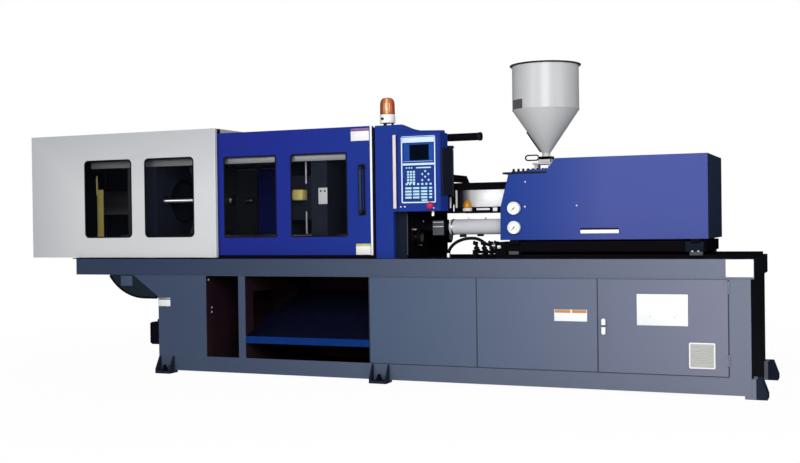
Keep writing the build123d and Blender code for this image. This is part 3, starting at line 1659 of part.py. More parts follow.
def barrel_guard():
    """Cover over the barrel: top beam, side panels, lower rails with a lamp, a transducer and a plug."""
    x0 = barrel_guard_left
    x1 = throat_x - feed_length / 2 - gap
    half = barrel_guard_half
    sheet = cover_sheet
    low = guard_rail_bottom
    guard = block(x0, x1, -half, half, low, guard_beam_top)
    guard -= block(x0 - bite, x1 + bite, -half + sheet, half - sheet, low - bite, guard_beam_top - sheet)
    for side in (-1, 1):
        y0, y1 = sorted((side * (half + guard_rail_depth), side * half))
        guard += block(x0, x1, y0, y1, low, low + guard_rail)
        guard += block(x0, x1, y0, y1, guard_beam_bottom, guard_beam_top)
    guard += block(x0 + transducer_lead, x1 - transducer_tail, -half - transducer_depth, -half + bite,
                   low + transducer_low, low + transducer_high)
    guard += block(x0 + plug_lead, x1 - plug_tail, -half - plug_depth, -half + bite,
                   low + plug_low, low + plug_high)
    lamp_y = -half - lamp_diameter / 2 - lamp_gap
    lamp_z = low + lamp_base
    guard += block(x0, lamp_x + lamp_shelf, lamp_y - lamp_gap, -half + bite, low, low + guard_rail)
    guard += rod_z(lamp_x, lamp_y, low, lamp_z, lamp_diameter)
    dome = Cone(lamp_diameter / 2 - lens_step, lamp_dome_top / 2, lamp_rise)
    return guard + Pos(lamp_x, lamp_y, lamp_z + lamp_rise / 2) * dome


def shot_cylinders():
    """Two shot cylinders with flanges on the feed block's wings."""
    x0 = throat_x + feed_length / 2
    tube = rod_x(x0, shot_cylinder_end, 0, 0, shot_cylinder_diameter)
    tube += rod_x(x0, x0 + shot_flange, 0, 0, shot_flange_diameter)
    tube -= rod_x(x0 + shot_cap, shot_cylinder_end + bite, 0, 0, shot_rod_diameter + 2 * running)
    return both_sides(Pos(0, -shot_cylinder_y, axis_height) * tube)


def thrust_plate():
    """Thrust plate with its two rods, bearing housing and the hydraulic screw motor."""
    x0 = thrust_left
    x1 = thrust_left + thrust_depth
    plate = block(x0, x1, -thrust_width / 2, thrust_width / 2, axis_height - thrust_height / 2,
                  axis_height + thrust_height / 2)
    plate = fillet(plate.edges().filter_by(Axis.X), thrust_round)
    for y in (-shot_cylinder_y, shot_cylinder_y):
        plate += rod_x(throat_x + feed_length / 2 + shot_rod_gap, x0 + bite, y, axis_height,
                       shot_rod_diameter)
    plate += rod_x(x0 - bearing_length, x0 + bite, 0, axis_height, bearing_diameter)
    plate += rod_x(x1 - bite, x1 + motor_length, 0, axis_height, motor_diameter)
    lead, length, width, height = motor_port
    motor_top = axis_height + motor_diameter / 2
    plate += block(x1 + lead, x1 + lead + length, -width / 2, width / 2, axis_height, motor_top + height)
    return plate - rod_x(x0 - bearing_length - bite, x0 + shank_depth + 2, 0, axis_height,
                         barrel_bore + 2 * running)


def screw():
    """Plasticising screw: pointed tip, check ring, root and the plain shank in the thrust bearing."""
    root = barrel_bore - screw_flight
    cone_end = screw_tip + screw_cone_length
    ring = screw_tip + check_ring_lead
    cone = Cone(screw_point / 2, (barrel_bore - screw_cone_step) / 2, screw_cone_length)
    shaft = Pos((screw_tip + cone_end) / 2, 0, axis_height) * Rot(0, 90, 0) * cone
    shaft += rod_x(cone_end, throat_x + shank_lead, 0, axis_height, root)
    shaft += rod_x(ring, ring + check_ring_length, 0, axis_height, barrel_bore)
    return shaft + rod_x(throat_x + shank_lead, thrust_left + shank_depth, 0, axis_height, barrel_bore)


def hopper():
    """Hopper: rolled cylinder and cone with a rim, neck and a gate housing on its base plate."""
    outer = hopper_diameter / 2
    inner = outer - hopper_sheet
    neck = throat_diameter / 2
    housing_top = gate_block_bottom + gate_block_height
    profile = make_face(Polyline(
        (inner, hopper_top), (inner, hopper_cylinder_bottom), (neck, cone_bottom), (neck, housing_top - bite),
        (neck + hopper_sheet, housing_top - bite), (neck + hopper_sheet, cone_bottom - bite),
        (outer, hopper_cylinder_bottom - bite), (outer, hopper_top - hopper_rim_height),
        (hopper_rim / 2, hopper_top - hopper_rim_height), (hopper_rim / 2, hopper_top), close=True))
    body = Pos(throat_x, 0, 0) * revolve(Plane.XZ * profile, Axis.Z)
    half = gate_block / 2
    middle = throat_x + base_plate_shift
    body += block(throat_x - half, throat_x + half, -half, half, gate_block_bottom, housing_top)
    body += block(middle - base_plate_length / 2, middle + base_plate_length / 2, -base_plate_width / 2,
                  base_plate_width / 2, base_plate_bottom, gate_block_bottom)
    foot = base_plate_length / 2 - stand_foot_inset
    for x in (middle - foot, middle + foot):
        body += block(x - stand_foot / 2, x + stand_foot / 2, -stand_foot_width / 2, stand_foot_width / 2,
                      feed_top, base_plate_bottom)
    body -= block(throat_x - half - bite, throat_x + half - gate_wall, -gate_width / 2 - gap,
                  gate_width / 2 + gap, gate_bottom - gap, gate_bottom + gate_thickness + gap)
    return body - rod_z(throat_x, 0, base_plate_bottom - bite, cone_bottom - bite, throat_diameter)


def slide_gate():
    """Flat gate in the neck with an upright oval pull."""
    x1 = throat_x + gate_block / 2 - gate_end_gap
    x0 = gate_handle_left + gate_handle_length - gate_handle_overlap
    plate = block(x0, x1, -gate_width / 2, gate_width / 2, gate_bottom, gate_bottom + gate_thickness)
    middle = gate_bottom + gate_thickness / 2 + gate_handle_rise
    outer = SlotOverall(gate_handle_length, gate_handle_height)
    inner = SlotOverall(gate_handle_length - 2 * gate_handle_bar, gate_handle_height - 2 * gate_handle_bar)
    centre = gate_handle_left + gate_handle_length / 2
    origin = (centre, -gate_handle_thickness / 2, middle)
    plane = Plane(origin=origin, x_dir=(1, 0, 0), z_dir=(0, -1, 0))
    return plate + extrude(plane * (outer - inner), -gate_handle_thickness)


def pressure_gauges():
    """Two round gauges on the cover: case, bezel ring and dial floor."""
    gauges = []
    y1 = -cover_half
    y0 = y1 - gauge_depth
    for z in gauge_heights:
        case = rod_y(gauge_x, y0, y1, z, gauge_diameter)
        case -= rod_y(gauge_x, y0 - bite, y0 + dial_depth, z, gauge_diameter - 2 * gauge_rim)
        case -= rod_y(gauge_x, y0, y0 + spindle_seat, z, gauge_spindle + 2 * running)
        gauges.append(case)
    return gauges


def gauge_needle(z):
    """Gauge pointer on its spindle, resting at the low end of the dial."""
    y0 = -cover_half - gauge_depth
    pointer_y = y0 + needle_setback
    spindle = rod_y(gauge_x, pointer_y, y0 + spindle_seat - bite, z, gauge_spindle)
    reach = gauge_diameter / 2 - needle_margin
    along = (cos(radians(needle_rest)), sin(radians(needle_rest)))
    tip = (gauge_x + reach * along[0], z + reach * along[1])
    left = (gauge_x + needle_half * along[1], z - needle_half * along[0])
    right = (gauge_x - needle_half * along[1], z + needle_half * along[0])
    tail = (gauge_x - needle_tail * along[0], z - needle_tail * along[1])
    return spindle + plate_xz([tip, left, tail, right], pointer_y, pointer_y + needle_thickness)


def purge_guard():
    """Hood over the nozzle with a sloping right edge, on two knuckles about the platen's pin."""
    x0 = fixed_platen_back + tie_nut_length + purge_gap
    outline = [(x0, purge_bottom), (x0, purge_top), (purge_right - purge_slope, purge_top),
               (purge_right, purge_low_top), (purge_right, purge_bottom)]
    inner = [(x0 - bite, purge_bottom - bite), (x0 - bite, purge_top - cover_sheet),
             (purge_right - purge_slope - 2, purge_top - cover_sheet), (purge_right - cover_sheet,
                                                                        purge_low_top),
             (purge_right - cover_sheet, purge_bottom - bite)]
    hood = plate_xz(outline, -purge_half, purge_half) - plate_xz(inner, -purge_half + cover_sheet,
                                                                 purge_half + bite)
    hood -= block(purge_right - purge_return, purge_right + bite, -purge_half + cover_sheet,
                  purge_half + bite, purge_bottom - bite, guard_beam_top + purge_beam_gap)
    for x in (x0 + knuckle_lead, purge_right - purge_slope - knuckle_tail):
        hood += rod_x(x, x + knuckle_width, purge_half, purge_pin_z, purge_hinge_diameter)
    return hood - rod_x(x0 - bite, purge_right + bite, purge_half, purge_pin_z,
                        purge_pin_diameter + 2 * running)


def e_stop_button():
    """Mushroom stop button on its stem."""
    front = -housing_front - stop_collar_reach
    back = front - stop_travel - 2
    head = rod_y(stop_x, back - stop_head, back, stop_z, stop_diameter)
    head = chamfer(head.edges().group_by(Axis.Y)[0], stop_chamfer)
    return head + rod_y(stop_x, back - bite, front + stop_stem_reach, stop_z, stop_stem)


def key_switch():
    """Key barrel under the control housing, with its key."""
    low = housing_bottom - key_barrel_lip
    width, thickness, reach = key_blade
    key = block(key_x - width / 2, key_x + width / 2, -key_y - thickness / 2, -key_y + thickness / 2,
                low - reach + bite, low + bite)
    return key + rod_z(key_x, -key_y, low, housing_bottom + key_barrel_reach, key_barrel)


save("bed_rails", bed_rails())
save("bed_base", bed_base())
save("anchor_feet", *anchor_feet())
save("belly_pan", belly_pan())
save("service_panels", *service_panels())
save("cabinet_door", cabinet_door())
save("cabinet_lock", cabinet_lock())
save("product_chute", product_chute())
save("power_pack", *power_pack())
save("electrical_plate", electrical_plate())
save("junction_box", junction_box())
save("fixed_platen", fixed_platen())
save("tie_bars", *tie_bars())
save("guide_rails", *guide_rails())
save("clamp_guard_panels", *clamp_guard_panels())
save("clamp_guard_hood", clamp_guard_hood())
save("guard_panes", *guard_panes())
front_door = sliding_door()
save("front_door", front_door)
save("rear_door", mirror(front_door, about=Plane.XZ), mirror(door_handle(), about=Plane.XZ))
save("front_door_panes", *door_panes())
save("rear_door_panes", *[mirror(piece, about=Plane.XZ) for piece in door_panes()])
save("front_door_handle", door_handle())
save("portal_cover", portal_cover())
save("control_housing", control_housing())
save("operator_panel", operator_panel())
save("control_arm", *control_arm())
beacon_base, beacon_lens = beacon()
save("beacon_base", beacon_base)
save("beacon_lens", beacon_lens)
save("e_stop_button", e_stop_button())
save("key_switch", key_switch())
save("tailstock_platen", tailstock_platen())
save("crosshead_guide_rods", *crosshead_guide_rods())
save("clamp_cylinder", clamp_cylinder())
save("die_height_gear_case", die_height_gear_case())
save("rear_link_upper", rear_link())
save("rear_link_lower", upside(rear_link()))
save("front_link_upper", front_link(running))
save("front_link_lower", upside(front_link(open_pivot_clearance)))
save("crosshead_link_upper", crosshead_link())
save("crosshead_link_lower", upside(crosshead_link()))
save("crosshead", crosshead())
save("clamp_piston_rod", clamp_piston_rod())
save("moving_platen", moving_platen())
save("ejector", ejector())
save("carriage_cylinders", *carriage_cylinders())
save("hose_manifold", hose_manifold())
save("supply_hose", supply_hose())
save("injection_cover", injection_cover())
save("injection_carriage", *injection_carriage())
save("barrel", barrel())
save("barrel_guard", barrel_guard())
save("shot_cylinders", *shot_cylinders())
save("thrust_plate", thrust_plate())
save("screw", screw())
save("hopper", hopper())
save("slide_gate", slide_gate())
save("pressure_gauges", *pressure_gauges())
save("gauge_needle_lower", gauge_needle(gauge_heights[0]))
save("gauge_needle_upper", gauge_needle(gauge_heights[1]))
save("purge_guard", purge_guard())
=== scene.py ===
from math import cos, pi, radians, sin

import bmesh
import bpy
import numpy as np
from mathutils import Matrix, Vector


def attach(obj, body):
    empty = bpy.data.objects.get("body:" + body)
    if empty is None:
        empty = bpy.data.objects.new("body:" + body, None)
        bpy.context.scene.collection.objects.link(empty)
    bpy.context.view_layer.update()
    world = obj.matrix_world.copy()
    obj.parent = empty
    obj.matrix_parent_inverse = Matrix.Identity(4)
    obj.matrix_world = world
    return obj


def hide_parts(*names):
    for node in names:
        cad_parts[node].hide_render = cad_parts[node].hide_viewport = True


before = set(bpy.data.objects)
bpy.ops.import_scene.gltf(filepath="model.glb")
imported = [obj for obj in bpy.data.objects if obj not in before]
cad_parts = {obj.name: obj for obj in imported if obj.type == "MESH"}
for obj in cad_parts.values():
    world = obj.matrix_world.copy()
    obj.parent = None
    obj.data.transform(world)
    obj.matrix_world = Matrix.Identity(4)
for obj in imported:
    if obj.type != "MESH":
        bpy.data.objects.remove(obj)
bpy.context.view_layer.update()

# Camera
# A level view from the operator's side, right of the middle: yaw, pitch and roll in degrees, the
# place in metres, and the focal length in widths of the picture.
yaw, pitch, roll = (radians(turn) for turn in (22.652, -0.483, -0.763))
focal_in_widths = 1112.8 / 800
forward = Vector((-sin(yaw) * cos(pitch), cos(yaw) * cos(pitch), sin(pitch)))
level = Vector((cos(yaw), sin(yaw), 0))
upright = level.cross(forward)
right = cos(roll) * level + sin(roll) * upright
top = cos(roll) * upright - sin(roll) * level
camera_data = bpy.data.cameras.new("photo_view")
camera_data.sensor_width = 36
camera_data.lens = camera_data.sensor_width * focal_in_widths
camera = bpy.data.objects.new("photo_view", camera_data)
bpy.context.scene.collection.objects.link(camera)
turned_view = Matrix((right, top, -forward)).transposed().to_4x4()
turned_view.translation = (3.2958, -7.4586, 1.0938)
camera.matrix_world = turned_view
bpy.context.scene.camera = camera
bpy.context.scene.view_settings.view_transform = "Standard"


# Finishes
# Every surface of the machine is a node material. A Finish holds one of them: node() adds a node,
# and a Value stands for a socket, so that sums and products of values add the Math nodes.
class Value:
    """An output socket of a finish. Sums, differences, products and powers of it are Math nodes."""

    def __init__(self, finish, socket):
        self.finish = finish
        self.socket = socket

    def maths(self, operation, first, second):
        return self.finish.node("ShaderNodeMath", {"operation": operation}, {0: first, 1: second})

    def __add__(self, other):
        return self.maths("ADD", self, other)

    def __radd__(self, other):
        return self.maths("ADD", other, self)

    def __sub__(self, other):
        return self.maths("SUBTRACT", self, other)

    def __rsub__(self, other):
        return self.maths("SUBTRACT", other, self)

    def __mul__(self, other):
        return self.maths("MULTIPLY", self, other)

    def __rmul__(self, other):
        return self.maths("MULTIPLY", other, self)

    def __gt__(self, other):
        return self.maths("GREATER_THAN", self, other)

    def __lt__(self, other):
        return self.maths("LESS_THAN", self, other)


class Finish:
    """One material: a Principled surface whose sockets are set to numbers, colours or Values."""

    def __init__(self, name, colour, rough, **uniform):
        self.material = bpy.data.materials.new(name)
        self.material.use_nodes = True
        self.tree = self.material.node_tree
        self.surface = self.tree.nodes["Principled BSDF"]
        self.colour = (*colour, 1)
        self.set("Base Color", self.colour)
        self.set("Roughness", rough)
        for socket, value in uniform.items():
            self.set(socket.replace("_", " "), value)
        self.place = self.node("ShaderNodeTexCoord", out="Object")

    def set(self, socket, value):
        if isinstance(value, Value):
            self.tree.links.new(value.socket, self.surface.inputs[socket])
        else:
            self.surface.inputs[socket].default_value = value

    def node(self, kind, settings=None, inputs=None, out=0):
        made = self.tree.nodes.new(kind)
        for name, value in (settings or {}).items():
            if name == "stops":
                ramp = made.color_ramp.elements
                while len(ramp) < len(value):
                    ramp.new(0.5)
                for stop, (at, colour) in zip(ramp, value):
                    stop.position = at
                    stop.color = (*colour, 1)
            else:
                setattr(made, name, value)
        for name, value in (inputs or {}).items():
            if isinstance(value, Value):
                self.tree.links.new(value.socket, made.inputs[name])
            else:
                made.inputs[name].default_value = value
        return Value(self, made.outputs[out])

    def noise(self, scale, detail=3, stretch=None):
        """Grain of the given scale per metre, stretched by a factor along each axis."""
        place = self.place
        if stretch:
            place = self.node("ShaderNodeMapping", None, {"Vector": place, "Scale": stretch})
        return self.node("ShaderNodeTexNoise", None, {"Vector": place, "Scale": scale, "Detail": detail})

    def along(self, axis):
        """The place on one axis, in metres."""
        return self.node("ShaderNodeSeparateXYZ", None, {0: self.place}, out=axis)

    def shade(self, amount, darker, lighter):
        """The finish's colour between two tones of it."""
        low = tuple(min(c * darker, 1) for c in self.colour[:3])
        high = tuple(min(c * lighter, 1) for c in self.colour[:3])
        return self.blend(amount, (*low, 1), (*high, 1))

    def blend(self, amount, first, second):
        return self.node("ShaderNodeMix", {"data_type": "RGBA"}, {0: amount, 6: first, 7: second}, out=2)

    def bump(self, height, depth, strength=1.0):
        """Relief of the given depth in metres."""
        self.set("Normal", self.node("ShaderNodeBump", None,
                                     {"Height": height, "Distance": depth, "Strength": strength}))


def enamel(name, colour, rough=0.42, drift=0.04, dust=0.0, painted_light=None, parts=(), **uniform):
    """Matt enamel: slow drift of tone, fine orange peel, dust that settles low on the machine. As painted
    light, the tone runs faster and faster to a lighter colour between two places on X. A part has its
    own colour where a function of the finish is 1; most parts are painted shade on faces turned from
    the light."""
    finish = Finish(name, colour, rough, **{"Specular_IOR_Level": 0.0, **uniform})
    drifting = finish.noise(1.3, 2)
    grain = finish.noise(24, 4)
    tone = finish.shade(drifting, 1 - 2 * drift, 1 + 2 * drift)
    if painted_light:
        lit_colour, start, end = painted_light
        across = finish.node("ShaderNodeMapRange", None, {0: finish.along(0), 1: start, 2: end, 3: 0.0,
                                                          4: 1.0})
        tone = finish.blend(across * across, tone, (*lit_colour, 1))
    for shaded, part_colour in parts:
        tone = finish.blend(shaded(finish), tone, (*part_colour, 1))
    if dust:
        low = finish.node("ShaderNodeMapRange", None, {0: finish.along(2), 1: 0.5, 2: 0.0, 3: 0.0, 4: dust})
        tone = finish.blend(low * finish.noise(9, 5), tone, (0.30, 0.30, 0.29, 1))
    finish.set("Base Color", tone)
    finish.set("Roughness", rough - 0.05 + 0.1 * grain)
    finish.bump(finish.noise(420, 1), 0.00012)
    return finish.material


def dress(node, material, edge=0.0012):
    """Give a carried-over node its finish, with its sharp edges broken by a small round."""
    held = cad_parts[node]
    if not held.material_slots:
        held.data.materials.append(material)
    for slot in held.material_slots:
        slot.material = material
    if edge:
        weld = held.modifiers.new("joined", "WELD")
        weld.merge_threshold = 0.00002
        broken = held.modifiers.new("broken_edges", "BEVEL")
        broken.width = edge
        broken.segments = 2
        broken.limit_method = "ANGLE"
        broken.angle_limit = radians(40)
        broken.use_clamp_overlap = True
    return held


# Bed
# The ladder of rolled channels and the lower body are welded plate under one coat of slate enamel.
# A bead of weld runs where the lower body meets the rails.
# As painted light, the slate runs from the left colour to the lighter right one. The bays' inner faces, the
# rails' top and inside and the right end faces are painted near black as painted shade.
slate_left, slate_right = (0.049, 0.073, 0.129), (0.158, 0.176, 0.232)
rail_left = (0.035, 0.053, 0.099)
bay_shade, end_shade = (0.021, 0.009, 0.014), (0.008, 0.009, 0.012)


def within(finish, axis, low, high):
    """1 where the place on one axis lies between two limits in metres."""
    return (finish.along(axis) > low) * (finish.along(axis) < high)


def base_inside(finish):
    """Inner faces of the lower body, which take painted shade."""
    return within(finish, 1, -0.4985, 0.4985) * within(finish, 0, -1.562, 2.662)


def base_end(finish):
    """Right end of the lower body, which takes painted shade."""
    return finish.along(0) > 2.6645


def rail_inside(finish):
    """Inside of the ladder, its top and its right end, which take painted shade."""
    inner = within(finish, 1, -0.5035, 0.5035) * (finish.along(0) > -2.313)
    return inner.maths("MAXIMUM", inner, (finish.along(2) > 0.844) + (finish.along(0) > 2.6845))


slate_light_run = (slate_right, -2.3, 2.6)
bed_enamel = enamel("bed_enamel", slate_left, painted_light=slate_light_run, dust=0.05,
                    parts=((base_inside, bay_shade), (base_end, end_shade)))
rail_enamel = enamel("rail_enamel", rail_left, painted_light=slate_light_run, parts=((rail_inside, end_shade),))
dress("bed_rails", rail_enamel, 0.003)
dress("bed_base", bed_enamel, 0.002)


def lattice(rows, columns, wrap):
    """Faces of a grid of points, row after row, closed across its columns if wrap is true."""
    row, column = np.meshgrid(np.arange(rows - 1), np.arange(columns if wrap else columns - 1), indexing="ij")
    after = (column + 1) % columns
    corners = (row * columns + column, row * columns + after, (row + 1) * columns + after,
               (row + 1) * columns + column)
    return np.stack(corners, -1).reshape(-1, 4).tolist()


def block(x0, x1, y0, y1, z0, z1, edge=2.0, steps=2):
    """Block with round edges: P(a, b) = middle + straight half-length x sign + edge x direction(a, b),
    a ball's surface moved apart by the block's straight lengths."""
    low, high = np.array([x0, y0, z0], float), np.array([x1, y1, z1], float)
    edge = min(edge, 0.499 * (high - low).min())
    quarter = np.linspace(0, pi / 2, steps + 1)
    latitude = np.concatenate([quarter - pi / 2, quarter])
    height_sign = np.repeat([-1, 1], steps + 1)
    turns = np.concatenate([quarter + k * pi / 2 for k in range(4)])
    side_x = np.repeat([1, -1, -1, 1], steps + 1)
    side_y = np.repeat([1, 1, -1, -1], steps + 1)
    a, b = np.meshgrid(latitude, turns, indexing="ij")
    direction = np.stack([np.cos(a) * np.cos(b), np.cos(a) * np.sin(b), np.sin(a)], -1)
    sign = np.stack([np.broadcast_to(side_x, a.shape), np.broadcast_to(side_y, a.shape),
                     np.broadcast_to(height_sign[:, None], a.shape)], -1)
    points = (low + high) / 2 + sign * ((high - low) / 2 - edge) + direction * edge
    rows, columns = a.shape
    quarters = [k * (steps + 1) for k in range(4)]
    caps = [quarters, [(rows - 1) * columns + k for k in quarters]]
    return points.reshape(-1, 3), lattice(rows, columns, True) + caps


def turned(profile, at, axis="Z", around=48):
    """Surface of revolution: P(s, t) = at + h(s) along the axis + r(s) (cos t, sin t) across it, for a
    profile of (r, h) pairs."""
    radius, height = np.array(profile, float).T
    t = np.linspace(0, 2 * pi, around, endpoint=False)
    across, up = np.outer(radius, np.cos(t)), np.outer(radius, np.sin(t))
    along = np.repeat(height[:, None], around, 1)
    order = {"X": (along, across, up), "Y": (across, along, up), "Z": (across, up, along)}[axis]
    return np.stack(order, -1).reshape(-1, 3) + np.array(at, float), lattice(len(profile), around, True)


def disc(radius, thickness, at, axis="Z", edge=1.0, around=32):
    """Round plate with a broken edge, its middle at a point."""
    half = thickness / 2
    profile = [(0, -half), (radius - edge, -half), (radius, -half + edge), (radius, half - edge),
               (radius - edge, half), (0, half)]
    return turned(profile, at, axis, around)


def carried(path, section, closed=False, up=(0, 0, 1)):
    """A section of (a, b) pairs carried along a path: P(s, t) = path(s) + a(t) side(s) + b(t) top(s), where
    side is the path's direction crossed with up."""
    path, section = np.array(path, float), np.array(section, float)
    if closed:
        ahead = np.roll(path, -1, 0) - np.roll(path, 1, 0)
    else:
        ahead = np.gradient(path, axis=0)
    ahead /= np.linalg.norm(ahead, axis=1)[:, None]
    side = np.cross(ahead, np.array(up, float))
    side /= np.linalg.norm(side, axis=1)[:, None]
    over = np.cross(side, ahead)
    points = path[:, None] + side[:, None] * section[None, :, :1] + over[:, None] * section[None, :, 1:]
    rows, columns = len(path), len(section)
    faces = lattice(rows, columns, True)
    if closed:
        last = (rows - 1) * columns
        faces += [[last + i, last + (i + 1) % columns, (i + 1) % columns, i] for i in range(columns)]
    else:
        faces += [list(range(columns)), list(range((rows - 1) * columns, rows * columns))]
    return points.reshape(-1, 3), faces


def ring_section(radius, sides=12):
    """Round section of a tube."""
    t = np.linspace(0, 2 * pi, sides, endpoint=False)
    return np.stack([radius * np.cos(t), radius * np.sin(t)], -1)


def window_path(x0, x1, z0, z1, y, radius, steps=6):
    """Closed path round a rectangle with round corners, in a plane of constant y."""
    t = np.linspace(0, pi / 2, steps)
    centres = ((x1 - radius, z1 - radius), (x0 + radius, z1 - radius), (x0 + radius, z0 + radius),
               (x1 - radius, z0 + radius))
    parts = [np.stack([cx + radius * np.cos(t + k * pi / 2), np.full(steps, float(y)),
                       cz + radius * np.sin(t + k * pi / 2)], -1) for k, (cx, cz) in enumerate(centres)]
    return np.concatenate(parts)


def piece(name, shapes, body, material, sharp=32):
    """One object of the machine from shapes in millimetres, riding on a body."""
    whole = bmesh.new()
    for points, faces in shapes:
        part = bmesh.new()
        corners = [part.verts.new(point) for point in np.asarray(points) / 1000]
        for face in faces:
            part.faces.new([corners[i] for i in face])
        bmesh.ops.remove_doubles(part, verts=part.verts, dist=1e-6)
        bmesh.ops.recalc_face_normals(part, faces=part.faces)
        held = bpy.data.meshes.new(name)
        part.to_mesh(held)
        part.free()
        whole.from_mesh(held)
        bpy.data.meshes.remove(held)
    mesh = bpy.data.meshes.new(name)
    whole.to_mesh(mesh)
    whole.free()
    mesh.shade_smooth()
    mesh.set_sharp_from_angle(angle=radians(sharp))
    mesh.materials.append(material)
    made = bpy.data.objects.new(name, mesh)
    bpy.context.scene.collection.objects.link(made)
    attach(made, body)
    return made


def mirrored(shape):
    """The shape on the other side of the machine's centre plane."""
    points, faces = shape
    return np.asarray(points) * (1, -1, 1), faces


def both_sides(shapes):
    """The shapes, and then the same shapes on the other side of the centre plane."""
    return shapes + [mirrored(shape) for shape in shapes]


def screws(places, axis="Y", head=7.0, proud=4.0, around=16):
    """Round-headed screws with a hexagon socket, their faces towards minus Y, minus X or plus Z."""
    out = {"Y": -1, "X": -1, "Z": 1}[axis]
    profile = [(0, 0), (head, 0), (head, 0.45 * proud), (0.8 * head, 0.85 * proud), (0.45 * head, proud),
               (0.42 * head, 0.5 * proud), (0, 0.5 * proud)]
    return [turned([(r, out * h) for r, h in profile], at, axis, around) for at in places]


# Bed details
# Pale rail plate, a cast nameplate blank at the left and small fastenings are screwed to the enamel.
bed_front = -505
rail_bottom = 723
plate_white = Finish("plate_white", (0.80, 0.81, 0.82), 0.35)
plate_white.set("Roughness", 0.28 + 0.14 * plate_white.noise(30))
plate_white.set("Base Color", plate_white.shade(plate_white.noise(5), 0.95, 1.03))
plate_white = plate_white.material
zinc = Finish("zinc_plate", (0.56, 0.57, 0.58), 0.34, Metallic=1.0)
zinc.set("Roughness", 0.25 + 0.2 * zinc.noise(90))
zinc = zinc.material
piece("rail_plate", [block(2521, 2682, bed_front - 1.6, bed_front, 736, 842, 0.7)], "root", plate_white)
piece("rail_plate_screws", screws([(x, bed_front - 1.5, z) for x in (2530, 2673) for z in (745, 833)], head=4,
                                  proud=2), "root", plate_white)
piece("left_plate", [block(-1561, -1459, bed_front - 1.6, bed_front, 493, 541, 0.7)], "root", plate_white)
piece("left_plate_strip", [block(-1561, -1459, bed_front - 2, bed_front, 549, 555, 0.9)], "root", zinc)
weld_path = [(x, bed_front - 0.5, rail_bottom + 0.6 * sin(x / 7)) for x in range(-1560, 2664, 12)]
piece("rail_weld", [carried(weld_path, ring_section(3.2, 8)),
                    mirrored(carried(weld_path, ring_section(3.2, 8)))], "root", bed_enamel)

# Feet
# Welded feet with gussets stand on the floor plates. Dark anchor bolts with washers and nuts hold them.


def foot_shaded(finish):
    """Painted shade on the gussets' flanks, which stand between the foot plate's faces, and on the end feet.
    """
    return (finish.along(1) < -0.507) + (finish.along(1) > 0.507) + (finish.along(0) > 2.69)


# The feet take the bed's painted light along X.
foot_enamel = enamel("foot_enamel", slate_left, painted_light=slate_light_run, parts=((foot_shaded, (0.016, 0.021, 0.036)),))
dress("anchor_feet", foot_enamel, 0.0015)
black_enamel = enamel("black_enamel", (0.0055, 0.0045, 0.0065), rough=0.4)


def hexagon(x, y, z0, z1, across):
    """Upright nut: six flats with a chamfered top."""
    reach = across / 2 / cos(pi / 6)
    profile = [(0, z0), (reach, z0), (reach, z1 - 0.12 * across), (0.86 * reach, z1), (0, z1)]
    return turned(profile, (x, y, 0), "Z", 6)


anchor_places = [(x, side * 539) for x in (-1492, 240) for side in (-1, 1)]
anchor_places += [(2723, side * 441) for side in (-1, 1)]
anchors = []
for x, y in anchor_places:
    anchors += [disc(22, 4, (x, y, 22.2)), hexagon(x, y, 24.2, 43, 36),
                turned([(0, 43), (12, 43), (12, 60), (10, 62), (0, 62)], (x, y, 0), "Z", 20)]
piece("anchor_bolts", anchors, "root", black_enamel, sharp=25)

# Belly pan
# Black sheet tray under the overhanging rails, with a light plate inside and a rolled rim.
plate_slate = enamel("plate_slate", (0.06, 0.085, 0.14), rough=0.5)
pan_enamel = enamel("pan_enamel", (0.014, 0.020, 0.029), rough=0.5)
dress("belly_pan", pan_enamel, 0.0)
rim = [(-1690 - 384 * sin(turn), -498, 937 - 384 * cos(turn)) for turn in np.linspace(radians(55), 0, 14)]
rim += [(-1640, -498, 553), (-1580, -498, 553)]
rims = [carried(rim, [(-7, -3), (7, -3), (7, 4), (-7, 4)], up=(0, 1, 0))]
piece("pan_rim", both_sides(rims), "root", black_enamel)
piece("pan_plate", [block(-1905, -1800, -500.5, -497, 640, 717, 1.5)], "root", plate_slate)

# Junction box
# Cast box with a screwed lid on the left end wall.
dress("junction_box", black_enamel, 0.004)
rubber = Finish("black_rubber", (0.006, 0.005, 0.007), 0.55, Specular_IOR_Level=0.05)
rubber.set("Roughness", 0.48 + 0.16 * rubber.noise(60))
rubber.bump(rubber.noise(300, 2), 0.0002)
rubber = rubber.material
box_lid = [block(-1673, -1652, -466, -334, 207, 365, 8)]
piece("junction_lid", box_lid, "root", black_enamel)
piece("junction_lid_screws", screws([(-1672, y, z) for y in (-452, -348) for z in (221, 351)], "X", 5, 3),
      "root", zinc)


def cord_curve(name, points, diameter, material):
    """Round cord on a smooth spline through the neighbourhood of its points, which are millimetres."""
    line = bpy.data.curves.new(name, "CURVE")
    line.dimensions = "3D"
    line.bevel_depth = diameter / 2000
    line.bevel_resolution = 4
    line.resolution_u = 8
    line.use_fill_caps = True
    spline = line.splines.new("NURBS")
    spline.points.add(len(points) - 1)
    for held, point in zip(spline.points, points):
        held.co = (*(c / 1000 for c in point), 1)
    spline.order_u = 3
    spline.use_endpoint_u = True
    line.materials.append(material)
    made = bpy.data.objects.new(name, line)
    bpy.context.scene.collection.objects.link(made)
    return made


